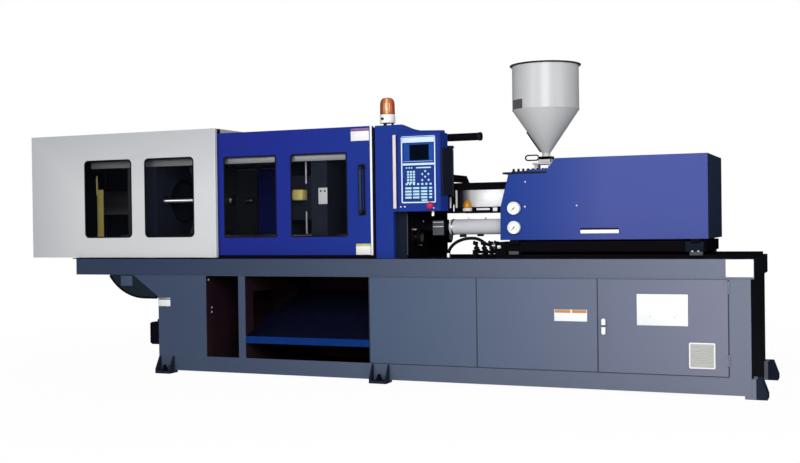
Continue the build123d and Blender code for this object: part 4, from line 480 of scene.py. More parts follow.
# Service panels
# Folded sheet panels close the bed's bays. Screws hold them, and a bare label with an orange band is
# stuck on the second one.
# As painted light, the panels run lighter towards the right end.
panel_enamel = enamel("panel_enamel", (0.058, 0.092, 0.152), rough=0.4, painted_light=((0.19, 0.196, 0.262), -0.9, 2.6))
dress("service_panels", panel_enamel, 0.0015)
panel_edges = (159, 933, 1737, 2535)
panel_screws = []
for left, right_edge in zip(panel_edges, panel_edges[1:]):
    for x in (left + 14, (left + right_edge) / 2, right_edge - 14):
        for z in (143, 711):
            panel_screws.append((x, bed_front, z))
front_screws = screws([at for at in panel_screws if at[0] < 1740], head=5, proud=2.5)
back_screws = [mirrored(shape) for shape in screws(panel_screws, head=5, proud=2.5)]
piece("panel_screws", front_screws + back_screws, "root", panel_enamel)


def banded(name, colour, bands):
    """Stuck-on sheet: one ground colour with bands of another between heights in metres."""
    finish = Finish(name, colour, 0.32)
    height = finish.along(2)
    tone = finish.shade(finish.noise(12), 0.94, 1.04)
    for low, high, band in bands:
        tone = finish.blend((height > low) * (height < high), tone, (*band, 1))
    finish.set("Base Color", tone)
    finish.set("Roughness", 0.27 + 0.12 * finish.noise(40))
    return finish.material


piece("panel_label", [block(1457, 1670, bed_front - 1, bed_front, 448, 522, 0.4)], "root", plate_white)
orange_band = Finish("orange_band", (0.52, 0.20, 0.07), 0.35)
orange_band.set("Base Color", orange_band.shade(orange_band.noise(30), 0.92, 1.08))
piece("label_band", [block(x0, x1, bed_front - 1.5, bed_front - 0.5, 501, 521, 0.3) for x0,
                     x1 in ((1460, 1564), (1573, 1667))], "root", orange_band.material)
gaskets = [block(x - 4, x + 4, bed_front - 0.4, bed_front + 3, 133, 721, 0.2) for x in panel_edges]
gaskets += [block(159, 2535, bed_front - 0.4, bed_front + 3, z - 3, z + 3, 0.2) for z in (721, 130)]
seam_rubber = Finish("seam_rubber", (0.010, 0.013, 0.03), 0.6)
seam_rubber.set("Roughness", 0.5 + 0.2 * seam_rubber.noise(60))
piece("panel_seams", both_sides(gaskets), "root", seam_rubber.material)

# Cabinet door
# Right-hand panel with punched louvres, a quarter-turn lock and a bare pale plate. A vent grille of
# pressed slats covers the louvres.
dress("cabinet_door", panel_enamel, 0.0015)
black_plastic = Finish("black_plastic", (0.007, 0.007, 0.009), 0.4, Specular_IOR_Level=0.1)
black_plastic.set("Roughness", 0.34 + 0.14 * black_plastic.noise(70))
black_plastic.bump(black_plastic.noise(900, 1), 0.0001)
black_plastic = black_plastic.material
lock_white = enamel("lock_white", (0.80, 0.81, 0.84), parts=((lambda finish: within(finish, 2, 0.416, 0.430),
                                                              (0.10, 0.11, 0.15)),))
dress("cabinet_lock", lock_white, 0.0015)
piece("door_plate", [block(1984, 2295, bed_front - 1.8, bed_front, 433, 627, 0.8)], "cabinet_door",
      plate_white)
piece("door_plate_studs", screws([(2065, bed_front - 1.8, 489), (2215, bed_front - 1.8, 487)], head=5,
                                 proud=3), "cabinet_door", zinc)
grille_left, grille_right, grille_low, grille_high = 2304, 2452, 180, 330
grille_frame = carried(window_path(grille_left, grille_right, grille_low, grille_high, bed_front - 4, 5),
                       [(-4, -4), (4, -4), (4, 4), (-4, 4)], closed=True, up=(0, 1, 0))
piece("vent_frame", [grille_frame], "cabinet_door", plate_white, sharp=20)
grille = [block(grille_left, grille_right, bed_front - 1.5, bed_front - 0.2, grille_low, grille_high, 0.5)]
slat = [(3, -5), (-2.5, 3), (-3, 5), (3.6, -3)]
for row in range(13):
    z = grille_low + 10 + row * 10.8
    grille.append(carried([(x, bed_front - 3, z) for x in (grille_left + 3, 2378, grille_right - 3)], slat))
grille_grey = Finish("grille_grey", (0.50, 0.50, 0.48), 0.45)
grille_grey.set("Base Color", grille_grey.shade(grille_grey.noise(9), 0.94, 1.05))
piece("vent_grille", grille, "cabinet_door", grille_grey.material, sharp=20)
piece("hinge_pins", [turned([(0, z - 3), (3.4, z - 3), (3.4, z + 63), (0, z + 63)], (2536.5, -510.3, 0), "Z",
                            16) for z in (200, 640)], "root", zinc)

# Product bays
# The folded chute is bright-blue sheet along its lip and near black behind it, painted shade inside the
# bay, with streaks of tone. The walls of the bays are painted dark as painted shade.
chute_blue = Finish("chute_blue", (0.005, 0.030, 0.155), 0.42, Specular_IOR_Level=0.0)
into_bay_shade = chute_blue.node("ShaderNodeMapRange", None, {0: chute_blue.along(1), 1: -0.497, 2: -0.490,
                                                          3: 0.0, 4: 1.0})
worn = chute_blue.noise(16, 5, (1, 0.12, 1))
chute_blue.set("Base Color", chute_blue.blend(into_bay_shade, chute_blue.shade(worn, 0.8, 1.2),
                                              chute_blue.blend(worn, (0.004, 0.005, 0.018, 1),
                                                               (0.008, 0.010, 0.032, 1))))
chute_blue.set("Roughness", 0.3 + 0.3 * worn)
chute_blue = chute_blue.material
dress("product_chute", chute_blue, 0.0)
tank_enamel = enamel("tank_enamel", (0.06, 0.07, 0.085), rough=0.5)
dress("power_pack", tank_enamel, 0.0015)
galvanised = Finish("galvanised", (0.50, 0.51, 0.52), 0.42, Metallic=1.0)
spangle = galvanised.node("ShaderNodeTexVoronoi", None, {"Vector": galvanised.place, "Scale": 60},
                          out="Color")
galvanised.set("Roughness", 0.3 + 0.2 * galvanised.node("ShaderNodeRGBToBW", None, {0: spangle}))
galvanised = galvanised.material
dress("electrical_plate", galvanised, 0.001)
bay_lamps = [disc(7, 3, (-1148, y, z), "X", 1, 16) for y, z in ((-430, 484), (-430, 452), (-470, 690))]
piece("bay_lamps", bay_lamps, "root", plate_white)

# Platens and tie bars
# Cast platens are ground on their faces and painted grey-blue round the edges. The tie bars are
# hard-chromed, and the platen's side carries a bare white label with two screws.
platen_enamel = enamel("platen_enamel", (0.022, 0.028, 0.044), rough=0.5)
# The fixed platen's faces past X 0.4035 m, its right face, are painted near black as painted shade.
fixed_enamel = enamel("fixed_enamel", (0.010, 0.014, 0.026), parts=((lambda finish: finish.along(0) > 0.4035,
                                                                     (0.005, 0.004, 0.006)),))
dress("fixed_platen", fixed_enamel, 0.003)
for node in ("moving_platen", "tailstock_platen"):
    dress(node, platen_enamel, 0.003)
chrome = Finish("hard_chrome", (0.56, 0.57, 0.59), 0.2, Metallic=1.0)
chrome.set("Roughness", 0.1 + 0.16 * chrome.noise(120, 3, (0.05, 1, 1)))
chrome.set("Base Color", chrome.shade(chrome.noise(4), 0.92, 1.04))
chrome = chrome.material
# The tie bars past the fixed platen's right face are painted near black as painted shade.
bar_chrome = Finish("bar_chrome", (0.56, 0.57, 0.59), 0.25, Metallic=1.0)
bar_chrome.set("Base Color", bar_chrome.blend(bar_chrome.along(0) > 0.404, bar_chrome.colour,
                                              (0.006, 0.006, 0.008, 1)))
dress("tie_bars", bar_chrome.material, 0.003)
dress("crosshead_guide_rods", chrome, 0.001)
dress("clamp_piston_rod", chrome, 0.001)
dark_iron = Finish("dark_iron", (0.028, 0.028, 0.031), 0.45, Metallic=0.4)
dark_iron.set("Roughness", 0.4 + 0.25 * dark_iron.noise(60, 4))
dark_iron.bump(dark_iron.noise(160, 4), 0.0004)
dark_iron = dark_iron.material
for node in ("rear_link_upper", "rear_link_lower", "front_link_upper", "front_link_lower",
             "crosshead_link_upper", "crosshead_link_lower", "crosshead", "die_height_gear_case",
             "clamp_cylinder"):
    dress(node, dark_iron, 0.002)
ground_steel = Finish("ground_steel", (0.42, 0.43, 0.44), 0.3, Metallic=1.0)
ground_steel.set("Roughness", 0.24 + 0.2 * ground_steel.noise(220, 3, (0.06, 1, 1)))
ground_steel.bump(ground_steel.noise(700, 2, (0.05, 1, 1)), 0.0001)
ground_steel = ground_steel.material
dress("ejector", ground_steel, 0.002)
dress("guide_rails", black_enamel, 0.001)
piece("platen_label", [block(-287, -217, -371.2, -370, 1230, 1345, 0.5)], "moving_platen", plate_white)
piece("platen_label_screws", screws([(x, -371, 1322) for x in (-268, -236)], head=7, proud=2),
      "moving_platen", black_plastic)
lime_enamel = enamel("lime_enamel", (0.86, 0.74, 0.24), rough=0.42)
piece("ejector_valve", [block(-500, -419, -366, -284, 1262, 1336, 6),
                        block(-520, -500, -350, -300, 1275, 1322, 4)], "moving_platen", lime_enamel)
grease_runs = []
for y, z in ((-300, 1500), (-300, 1060)):
    grease_runs.append(carried([(-420, y, z + k) for k in (-120, -60, 0, 60, 120)], ring_section(9),
                               up=(0, 1, 0)))
piece("platen_rods", grease_runs, "moving_platen", ground_steel)
nut_flats = []
for y in (-290, 290):
    for z in (990, 1570):
        nut_flats.append(turned([(36, 469), (53.4, 469), (53.4, 452), (50, 450), (50, 430), (53.4, 428),
                                 (53.4, 406), (36, 406)], (0, y, z), "X", 40))
        nut_flats += [disc(6, 7, (444, y + 40 * cos(t), z + 40 * sin(t)), "X", 1,
                           12) for t in np.arange(0.4, 6.4, 1.05)]
piece("tie_bar_nuts", nut_flats, "root", black_enamel)

# Tailstock side
# A lime-painted guard strip, narrower at its top, stands left of the cylinder. A dark ring edges the
# bore of the tailstock.
piece("lime_strip", [block(-2341, -2286, -207, -193, 850, 1383, 4),
                     block(-2351, -2338, -205, -195, 1340, 1494, 3)], "root", lime_enamel)
piece("lime_strip_foot", [block(-2315, -2288, -545, -186, 845.2, 852, 2)], "root", black_enamel)
bore_ring = [turned([(150, 0), (172, 0), (172, 3), (170, 4), (150, 4), (150, 0)], (-1662, 0, 1280), "X", 72)]
piece("bore_ring", bore_ring, "tailstock", black_enamel)

# Clamp guard
# Folded sheet panels with round-cornered windows. Black rubber channel edges each window, clear sheet
# stands behind the front ones and near-opaque dark sheet behind the rear ones, painted shade that keeps
# the inside dark. A bright rail runs inside.


def guard_shade(finish):
    """Painted shade: the sheets grow darker to their top and to the left end."""
    upward = finish.node("ShaderNodeMapRange", None, {0: finish.along(2), 1: 1.35, 2: 1.78, 3: 0.0, 4: 0.42})
    leftward = finish.node("ShaderNodeMapRange", None, {0: finish.along(0), 1: -2.3, 2: -2.75, 3: 0.0,
                                                        4: 0.42})
    return upward.maths("MAXIMUM", upward, leftward)


def guard_inside(finish):
    """Inner faces and the feet of the sheets, painted near black as painted shade."""
    inner = within(finish, 1, -0.4732, 0.4732) * within(finish, 0, -2.7532, -1.0762)
    inner = inner * within(finish, 2, 0.8, 1.7942)
    return inner.maths("MAXIMUM", inner, finish.along(2) < 0.8528)


guard_enamel = enamel("guard_enamel", (0.635, 0.65, 0.665), drift=0.01,
                      parts=((guard_shade, (0.35, 0.365, 0.39)), (guard_inside, (0.010, 0.010, 0.013))))
dress("clamp_guard_panels", guard_enamel, 0.0015)
dress("clamp_guard_hood", guard_enamel, 0.0012)


def pane_finish(name, colour, cover):
    """Clear sheet: a thin film of colour and gloss over what stands behind, with faint wipe marks."""
    finish = Finish(name, colour, 0.08, Specular_IOR_Level=0.0)
    wiped = finish.noise(3, 4, (0.4, 1, 2.5))
    finish.set("Alpha", cover - 0.03 + 0.06 * wiped)
    finish.set("Roughness", 0.05 + 0.1 * wiped)
    return finish.material


clear_sheet = pane_finish("clear_sheet", (0.006, 0.007, 0.012), 0.14)
dark_shade_sheet = pane_finish("dark_shade_sheet", (0.008, 0.008, 0.01), 0.94)
guard_windows = ((-2243, -1816), (-1690, -1264))
window_low, window_high = 1008, 1592
front_panes = [block(x0 - 14, x1 + 14, -473, -468, window_low - 14, window_high + 14, 1) for x0,
               x1 in guard_windows]
clear_panes = piece("guard_clear_panes", front_panes, "root", clear_sheet)
piece("guard_smoked_panes", [mirrored(pane) for pane in front_panes], "root", dark_shade_sheet)
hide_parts("guard_panes")
channel = [(-5, -2.5), (4.5, -2.5), (4.5, 3), (-5, 3)]
seals = [carried(window_path(x0, x1, window_low, window_high, -474, 30, 8), channel, True, (0, 1, 0)) for x0,
         x1 in guard_windows]
piece("guard_window_seals", both_sides(seals), "root", rubber)
guard_screws = [(x, -475, z) for x in (-2735, -1915, -1095) for z in (873, 1777)]
guard_heads = screws(guard_screws, head=5, proud=2)
piece("guard_screws", both_sides(guard_heads), "root", guard_enamel)
bright_edge = Finish("bright_edge", (0.86, 0.86, 0.86), 0.4)
bright_edge.set("Base Color", bright_edge.shade(bright_edge.noise(8), 0.95, 1.05))
bright_edge = bright_edge.material
# A pale strip down the guard's right end is a painted highlight on that edge.
edge_highlight = [block(-1078.5, -1075.2, -475.4, -445, 854, 1796, 0.8)]
piece("guard_edge_highlight", both_sides(edge_highlight), "root", bright_edge)
satin_alloy = Finish("satin_alloy", (0.34, 0.35, 0.36), 0.38, Metallic=0.6)
satin_alloy.set("Roughness", 0.32 + 0.2 * satin_alloy.noise(140, 3, (0.05, 1, 1)))
satin_alloy = satin_alloy.material
rail_cover = [block(-2240, 188, -405.5, -402.2, 1537, 1590, 1),
              block(-2240, 188, -405.5, -386, 1586, 1590, 1)]
piece("rail_cover", both_sides(rail_cover), "root", satin_alloy)

# Sliding doors
# Royal-blue folded doors with square windows in rubber, a black bow handle, a pale edge strip and two
# bare labels. Rollers hang them on the upper rail.
blue = (0.016, 0.026, 0.235)
# As painted light, the blue runs a little lighter towards the right.
blue_enamel = enamel("blue_enamel", blue, rough=0.36, drift=0.02, painted_light=((0.016, 0.039, 0.245), -1.2, 0.3))
dress("front_door", blue_enamel, 0.0012)
dress("rear_door", blue_enamel, 0.0012)
dress("front_door_panes", clear_sheet, 0)
# The rear door's panes take the same near-opaque dark sheet, painted shade.
dress("rear_door_panes", dark_shade_sheet, 0)
door_windows = ((-1023, -596), (-471, -35))
door_seals = [carried(window_path(x0, x1, 1002, 1582, -434.3, 6, 4), channel, True, (0, 1, 0)) for x0,
              x1 in door_windows]
door_sills = [block(x0 + 8, x1 - 8, -436.4, -433, 998.5, 1001.5, 0.8) for x0, x1 in door_windows]
strip = [block(148, 163, -437.4, -435, 868, 1762, 1)]
dress("front_door_handle", black_plastic, 0.002)
grip_path = [(84, -435 - reach, z) for reach, z in ((2, 1152), (22, 1154), (32, 1160), (35, 1172),
                                                    (35.5, 1320), (35, 1469), (32, 1481), (22, 1487),
                                                    (2, 1489))]
grip = carried(grip_path, [(-11, -4), (-7, -7), (7, -7), (11, -4), (11, 4), (7, 7), (-7, 7), (-11, 4)],
               up=(1, 0, 0))
handle_pads_and_shadow = [block(72, 113, -437.5, -435, z0, z1, 3) for z0, z1 in ((1147, 1180), (1464, 1497))]
# The narrow black strip on the door beside the grip is a painted shadow.
handle_pads_and_shadow += [block(96, 108, -436.2, -435, 1176, 1468, 1)]
# A teal strip on the grip's face is a painted highlight.
grip_highlight = Finish("grip_highlight", (0.018, 0.045, 0.10), 0.4, Specular_IOR_Level=0.1)
grip_highlight.set("Roughness", 0.35 + 0.1 * grip_highlight.noise(80))
piece("handle_highlight", [block(79, 90, -472.2, -470, 1182, 1460, 1.5)], "front_door", grip_highlight.material)
for body, place in (("front_door", lambda shape: shape), ("rear_door", mirrored)):
    piece(body + "_seals", [place(seal) for seal in door_seals], body, rubber)
    piece(body + "_sills", [place(sill) for sill in door_sills], body, bright_edge)
    piece(body + "_edge_strip", [place(shape) for shape in strip], body, bright_edge)
    heads = screws([(84, -471.3, z) for z in (1160, 1481)], head=4, proud=2)
    piece(body + "_handle_screws", [place(head) for head in heads], body, black_plastic)
    piece(body + "_handle_pads", [place(pad) for pad in handle_pads_and_shadow], body, black_plastic)
piece("rear_handle_grip", [mirrored(grip)], "rear_door", black_plastic)
purple_label = banded("purple_label", (0.78, 0.77, 0.76), [(1.728, 1.745, (0.21, 0.08, 0.25))])
yellow_label = banded("yellow_label", (0.78, 0.79, 0.72), [(0.930, 0.946, (0.42, 0.45, 0.10))])
piece("door_label_high", [block(3, 142, -436, -435, 1662, 1746, 0.4)], "front_door", purple_label)
piece("door_label_low", [block(33, 144, -436, -435, 871, 947, 0.4)], "front_door", yellow_label)
brush_seal = [block(164, 176, -428, -405, 850, 1752, 2)]
piece("door_brush_seals", both_sides(brush_seal), "root", rubber)
rollers = []
for x in (-1121, 63):
    for k in (-40, 40):
        rollers.append(turned([(5, -398), (13, -398), (15, -396), (15, -388), (13, -386), (5, -386)],
                              (x + k, 0, 1676.5 + 8), "Y", 28))
for body, place in (("front_door", lambda shape: shape), ("rear_door", mirrored)):
    piece(body + "_rollers", [place(roller) for roller in rollers], body, ground_steel)

# Portal and beacon
# The casing round the fixed platen is the same blue sheet. An amber lamp stands on three short legs:
# a moulded lens with upright ribs over a white base, with a dark reflector inside.
dress("portal_cover", blue_enamel, 0.0015)
dress("beacon_base", plate_white, 0.002)
piece("beacon_plug", [block(236, 256, -441.5, -436, 1798, 1814, 2)], "root", black_plastic)
piece("beacon_feet", [block(262 + 34 * cos(radians(t)) - 7, 262 + 34 * cos(radians(t)) + 7,
                            -385 + 34 * sin(radians(t)) - 7, -385 + 34 * sin(radians(t)) + 7, 1760, 1781,
                            2) for t in (30, 150, 270)], "root", black_plastic)


def lens(middle, profile, ribs, depth, around):
    """Ribbed dome: P(s, t) = middle + (r(s) - depth (1 - cos(ribs t)) / 2) (cos t, sin t), at h(s)."""
    radius, height = np.array(profile, float).T
    t = np.linspace(0, 2 * pi, around, endpoint=False)
    reach = np.maximum(radius[:, None] - depth * (1 - np.cos(ribs * t)) / 2 * (radius[:, None] > 2 * depth),
                       0)
    points = np.stack([middle[0] + reach * np.cos(t), middle[1] + reach * np.sin(t),
                       np.repeat(height[:, None], around, 1)], -1)
    return points.reshape(-1, 3), lattice(len(profile), around, True)


amber = Finish("amber_lens", (0.62, 0.115, 0.012), 0.12, Transmission_Weight=0.15, IOR=1.49)
# The lens colour runs in upright bands across the lamp, dark at both sides and pale in a stripe left of the
# middle: painted highlight and painted shade.
sideways = 0.923 * (amber.along(0) - 0.262) + 0.385 * (amber.along(1) + 0.385)
bands = [(0.0, (0.07, 0.012, 0.003)), (0.2, (0.42, 0.09, 0.015)), (0.36, (0.62, 0.22, 0.05)),
         (0.45, (1.0, 0.74, 0.42)), (0.55, (0.62, 0.22, 0.06)), (0.68, (0.70, 0.16, 0.03)),
         (0.82, (0.50, 0.09, 0.015)), (1.0, (0.06, 0.01, 0.003))]
amber.set("Base Color", amber.node("ShaderNodeValToRGB", {"stops": bands}, {0: 9.6 * sideways + 0.5}))
amber.set("Roughness", 0.1 + 0.12 * amber.noise(14, 2, (1, 1, 0.2)))
amber = amber.material
dome = [(0, 1839), (51, 1839), (52, 1842), (50.5, 1912), (47, 1930), (40, 1942), (30, 1950), (16, 1953.4),
        (0, 1954)]
beacon_glass = piece("beacon_glass", [lens((262, -385), dome, 24, 1.6, 192)], "root", amber,
                     sharp=60)
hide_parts("beacon_lens")
piece("beacon_reflector", [turned([(0, 1840), (24, 1840), (20, 1880), (27, 1915), (14, 1925), (0, 1926)],
                                  (262, -385, 0), "Z", 32)], "root", chrome)

# Control housing
# Pressed blue housing with a rolled front edge and a shoulder that slopes down from the portal. The
# operator panel is a film keyboard in a pale frame, under a dark display.
dress("control_housing", blue_enamel, 0.0025)
field_navy = (0.008, 0.03, 0.19)
panel_film = Finish("panel_film", field_navy, 0.3, Specular_IOR_Level=0.05)
panel_film.set("Roughness", 0.24 + 0.1 * panel_film.noise(50))
panel_film.set("Base Color", panel_film.shade(panel_film.noise(6), 0.9, 1.1))
panel_film = panel_film.material
pale_frame = Finish("pale_frame", (0.55, 0.68, 0.88), 0.35)
pale_frame.set("Base Color", pale_frame.shade(pale_frame.noise(7), 0.96, 1.06))
pale_frame = pale_frame.material
dress("operator_panel", panel_film, 0)
panel_face = -510.6
frame_band = [(-4, -1), (4, -1), (4, 1), (-4, 1)]
pale = [carried(window_path(415.5, 654.5, 1225, 1667, panel_face, 6, 4), frame_band, True, (0, 1, 0)),
        block(416, 654, panel_face - 1, panel_face + 1, 1628, 1668, 0.6),
        block(416, 654, panel_face - 1, panel_face + 1, 1475, 1489, 0.6),
        block(424, 640, panel_face + 0.8, panel_face + 2.5, 1500, 1502, 0.4)]
piece("panel_frame", pale, "root", pale_frame)
display = Finish("display_glass", (0.0015, 0.003, 0.008), 0.3, Specular_IOR_Level=0.0)
display.set("Roughness", 0.05 + 0.05 * display.noise(20))
display.set("Base Color", display.shade(display.noise(3), 0.6, 1.6))
piece("display", [block(471, 612, -508.8, -505.6, 1508, 1614, 1.5)], "root", display.material)
display_plate = Finish("display_plate", (0.012, 0.065, 0.30), 0.35, Specular_IOR_Level=0.05)
display_plate.set("Base Color", display_plate.shade(display_plate.noise(8), 0.9, 1.1))
piece("display_plate", [block(432, 640, -508.2, -507.6, 1500, 1620, 0.2)], "root", display_plate.material)
key_cyan = Finish("key_cyan", (0.42, 0.66, 0.80), 0.4)
key_cyan.set("Base Color", key_cyan.shade(key_cyan.noise(30), 0.92, 1.08))
key_cyan = key_cyan.material
key_face = -508.0


def key(x, z, wide, high):
    """Raised key of the film keyboard, centred on a place of the panel."""
    return block(x - wide / 2, x + wide / 2, key_face - 1.6, key_face + 1, z - high / 2, z + high / 2, 1.5)


keys = [key(450, 1458, 10, 9), key(470, 1458, 12, 9), key(487, 1458, 9, 9), key(572, 1458, 108, 9)]
for column in range(3):
    keys += [key(460 + 21 * column, 1431 - 18 * row, 16, 13) for row in range(5)]
for x, z in ((584, 1434), (563, 1414), (606, 1414), (584, 1396), (562, 1374), (608, 1374)):
    turned_key = disc(8.5, 3, (x, key_face - 0.3, z), "Y", 1, 4)
    keys.append(turned_key)
for x in (449, 473, 502, 532, 562, 591, 621):
    keys.append(key(x, 1348, 15, 13))
for row, z in enumerate((1321, 1299, 1279, 1258)):
    for x, wide in ((461, 46), (517, 46), (574, 46), (621, 22)):
        keys.append(key(x, z, wide, 13))
keys.append(key(577, 1239, 42, 10))
piece("film_keys", keys, "root", key_cyan)
red_plastic = Finish("red_plastic", (0.40, 0.012, 0.07), 0.35, Specular_IOR_Level=0.2)
red_plastic.set("Roughness", 0.2 + 0.12 * red_plastic.noise(80))
red_plastic.set("Base Color", red_plastic.shade(red_plastic.noise(20), 0.92, 1.08))
red_plastic = red_plastic.material
mushroom = piece("stop_mushroom", [turned([(11, -489), (11, -519), (20, -520), (24, -521.5), (25, -525),
                                           (24, -530), (20, -534.5), (12, -537), (0, -537)], (621, 0, 1201),
                                          "Y", 48)], "e_stop_button", red_plastic, sharp=50)
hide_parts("e_stop_button")
piece("stop_collar", [turned([(13.5, -513), (17.6, -513), (18, -512), (18, -505), (13.5, -505)],
                             (621, 0, 1201), "Y", 40)], "root", zinc)
dress("key_switch", zinc, 0.0006)
piece("housing_lamps", [disc(5, 3, (x, -506, z), "Y", 1, 16) for x,
                        z in ((403, 1197), (432, 1197), (641, 1185))], "root", bright_edge)
pink_trim = Finish("pale_trim", (0.74, 0.64, 0.62), 0.4)
pink_trim.set("Base Color", pink_trim.shade(pink_trim.noise(6), 0.95, 1.05))
piece("trim_face", [block(326.5, 349.5, -456.2, -454.8, 1187, 1689, 0.8)], "root", pink_trim.material)
housing_lip = [carried(window_path(383, 687, 1168, 1689, -505, 10, 5), ring_section(1.6, 8), True, (0, 1, 0))]
piece("housing_lip", housing_lip, "root", blue_enamel)

# Bracket box and boom
# Black steel box behind the housing with a round edge tube, a knob and hinge bosses. The boom ends in
# a plug.
arm_enamel = enamel("arm_enamel", (0.013, 0.016, 0.030), parts=((lambda finish: finish.along(2) > 1.62,
                                                                 (0.004, 0.004, 0.006)),))
dress("control_arm", arm_enamel, 0.003)
edge_tube = [turned([(0, 1276), (8, 1276), (8, 1584), (0, 1584)], (705, -303, 0), "Z", 24),
             disc(20, 16, (700, -310, 1600), "Z", 6, 24), disc(12, 14, (704, -303, 1268), "Z", 4, 24)]
piece("box_edge", edge_tube, "root", black_plastic)
piece("boom_cap", [turned([(0, 903), (27, 903), (29, 906), (29, 921), (26, 924.5), (0, 925)],
                          (0, -328.7, 1664), "X", 36)], "root", black_plastic)
piece("box_seams", [block(500 + 60 * i, 503 + 60 * i, -356.4, -355, 1280, 1580, 0.6) for i in range(4)],
      "root", black_enamel)

# Platen side fittings
# A grey strip along the fixed platen's rear edge is a painted highlight, and small bright fittings
# stand on its dark back.
grey_plate = enamel("grey_plate", (0.085, 0.09, 0.10), rough=0.45)
piece("platen_edge_highlight", [block(403, 407, -402, -394, 868, 1150, 1.5)], "root", grey_plate)
fittings = []
for y, z in ((-170, 1097), (-158, 1074), (-311, 1042), (-261, 1037), (-211, 1037), (-237, 1009), (-276, 977),
             (-264, 962), (-214, 933)):
    fittings.append(turned([(0, 436), (7, 436), (9, 430), (9, 418), (12, 416), (12, 405), (0, 405)],
                           (0, y, z), "X", 16))
piece("platen_fittings", fittings, "root", zinc)

# Purge guard and barrel
# Black sheet hood with upright slits at the nozzle. The barrel carries band heaters with lead clamps.
# A cover of polished sheet runs over it between a black beam and a black rail.
dress("purge_guard", black_enamel, 0.001)
slits = [block(510 + 18 * i, 514 + 18 * i, -182.6, -180, 1180, 1400, 1) for i in range(7)]
piece("purge_ribs", slits, "purge_guard", black_plastic)
# Two pale strips, one on the hood's face and one at the guard's end, are painted highlights.
glints = [block(637, 648, -182.4, -180, 1187, 1262, 1), block(659, 672, -123, -120, 1187, 1312, 1)]
piece("purge_highlight", glints[:1], "purge_guard", bright_edge)
piece("guard_end_highlight", glints[1:], "carriage", bright_edge)
dress("barrel", ground_steel, 0.001)
band_metal = Finish("band_metal", (0.50, 0.42, 0.30), 0.34, Metallic=1.0)
band_metal.set("Roughness", 0.28 + 0.2 * band_metal.noise(40, 4))
band_metal = band_metal.material
bands = []
for x in (400, 570, 740, 910):
    bands.append(turned([(67, x - 1), (69, x - 1), (69.4, x + 3), (68.4, x + 5), (68.4, x + 115),
                         (69.4, x + 117), (69, x + 121), (67, x + 121)], (0, 0, 1280), "X", 56))
    bands += [block(x + 18, x + 30, -18, 18, 1346, 1360, 2), block(x + 92, x + 104, -18, 18, 1346, 1357, 2)]
piece("heater_bands", bands, "carriage", band_metal)
# The polished sheet is coloured from near black at its left to near white at its right along X, a painted
# reflection.
polished = Finish("polished_sheet", (0.86, 0.87, 0.88), 0.3, Metallic=0.15)
painted_reflection = [(0.0, (0.006, 0.006, 0.009)), (0.12, (0.02, 0.02, 0.025)), (0.3, (0.22, 0.22, 0.23)),
                 (0.5, (0.72, 0.73, 0.74)), (0.8, (0.94, 0.94, 0.95)), (1.0, (0.94, 0.94, 0.95))]
reflection_run = polished.node("ShaderNodeMapRange", None, {0: polished.along(0), 1: 0.69, 2: 0.86, 3: 0.0, 4: 1.0})
polished.set("Base Color", polished.node("ShaderNodeValToRGB", {"stops": painted_reflection}, {0: reflection_run}))
polished.set("Roughness", 0.24 + 0.16 * polished.noise(60, 3, (0.08, 1, 1)))
polished = polished.material
dress("barrel_guard", black_enamel, 0.001)
sheet_face = [block(674, 1180, -121.6, -120, 1192, 1310, 0.7)]
piece("polished_cover", both_sides(sheet_face), "carriage", polished)
piece("transducer", [block(820, 917, -148.5, -145.5, 1169, 1183, 1.5)], "carriage", plate_white)
piece("white_plug", [block(942, 974, -157, -153.5, 1161, 1186, 3)], "carriage", plate_white)
piece("lamp_base", [turned([(0, 1164), (31, 1164), (32, 1166), (32, 1180), (30, 1184), (0, 1184)],
                           (757, -155, 0), "Z", 40)], "carriage", plate_white)
small_dome = [(0, 1182), (28, 1182), (28.5, 1190), (27.5, 1204), (25, 1219), (18, 1233), (9, 1240), (0, 1242)]
yellow = Finish("yellow_lens", (0.85, 0.36, 0.01), 0.16, Transmission_Weight=0.3, IOR=1.49)
yellow.set("Base Color", yellow.shade(yellow.noise(30), 0.85, 1.1))
piece("warning_dome", [lens((757, -155), small_dome, 16, 1, 96)], "carriage", yellow.material,
      sharp=60)

# Seat cylinders
# Bright painted tubes that draw the carriage forward, with a joint collar, a clamp and a bleed screw.
tube_paint = enamel("tube_paint", (0.56, 0.57, 0.60), rough=0.3)
stay_paint = enamel("stay_paint", (0.56, 0.57, 0.60), parts=((lambda finish: finish.along(0) < 0.6495,
                                                              (0.006, 0.005, 0.008)),))
dress("carriage_cylinders", stay_paint, 0.001)
eye_plates = [block(532, 614, -245, -242, 1000, 1101, 2)]
piece("eye_plates", both_sides(eye_plates), "root", grey_plate)
eye_bands = [block(534, 612, -246.5, -244, z, z + 7, 1) for z in (1056, 1086)]
piece("eye_bands", both_sides(eye_bands), "root", tube_paint)
collars = []
for y in (-190, 190):
    collars += [turned([(53, 663), (55.5, 664), (55.5, 676), (53, 677)], (0, y, 1055), "X", 48),
                turned([(20.3, 1100), (50, 1100), (54, 1103), (54, 1109), (50, 1111), (20.3, 1111)],
                       (0, y, 1055), "X", 48)]
piece("cylinder_collars", collars, "root", zinc)
clips = [block(714, 757, y - 16, y + 16, 984, 1003, 4) for y in (-190, 190)]
piece("cylinder_clips", clips, "root", black_plastic)
piece("bleed_screws", [turned([(0, 1106), (6, 1106), (6, 1113), (4, 1118), (0, 1118)], (776, y, 0), "Z",
                              12) for y in (-190, 190)], "root", zinc)

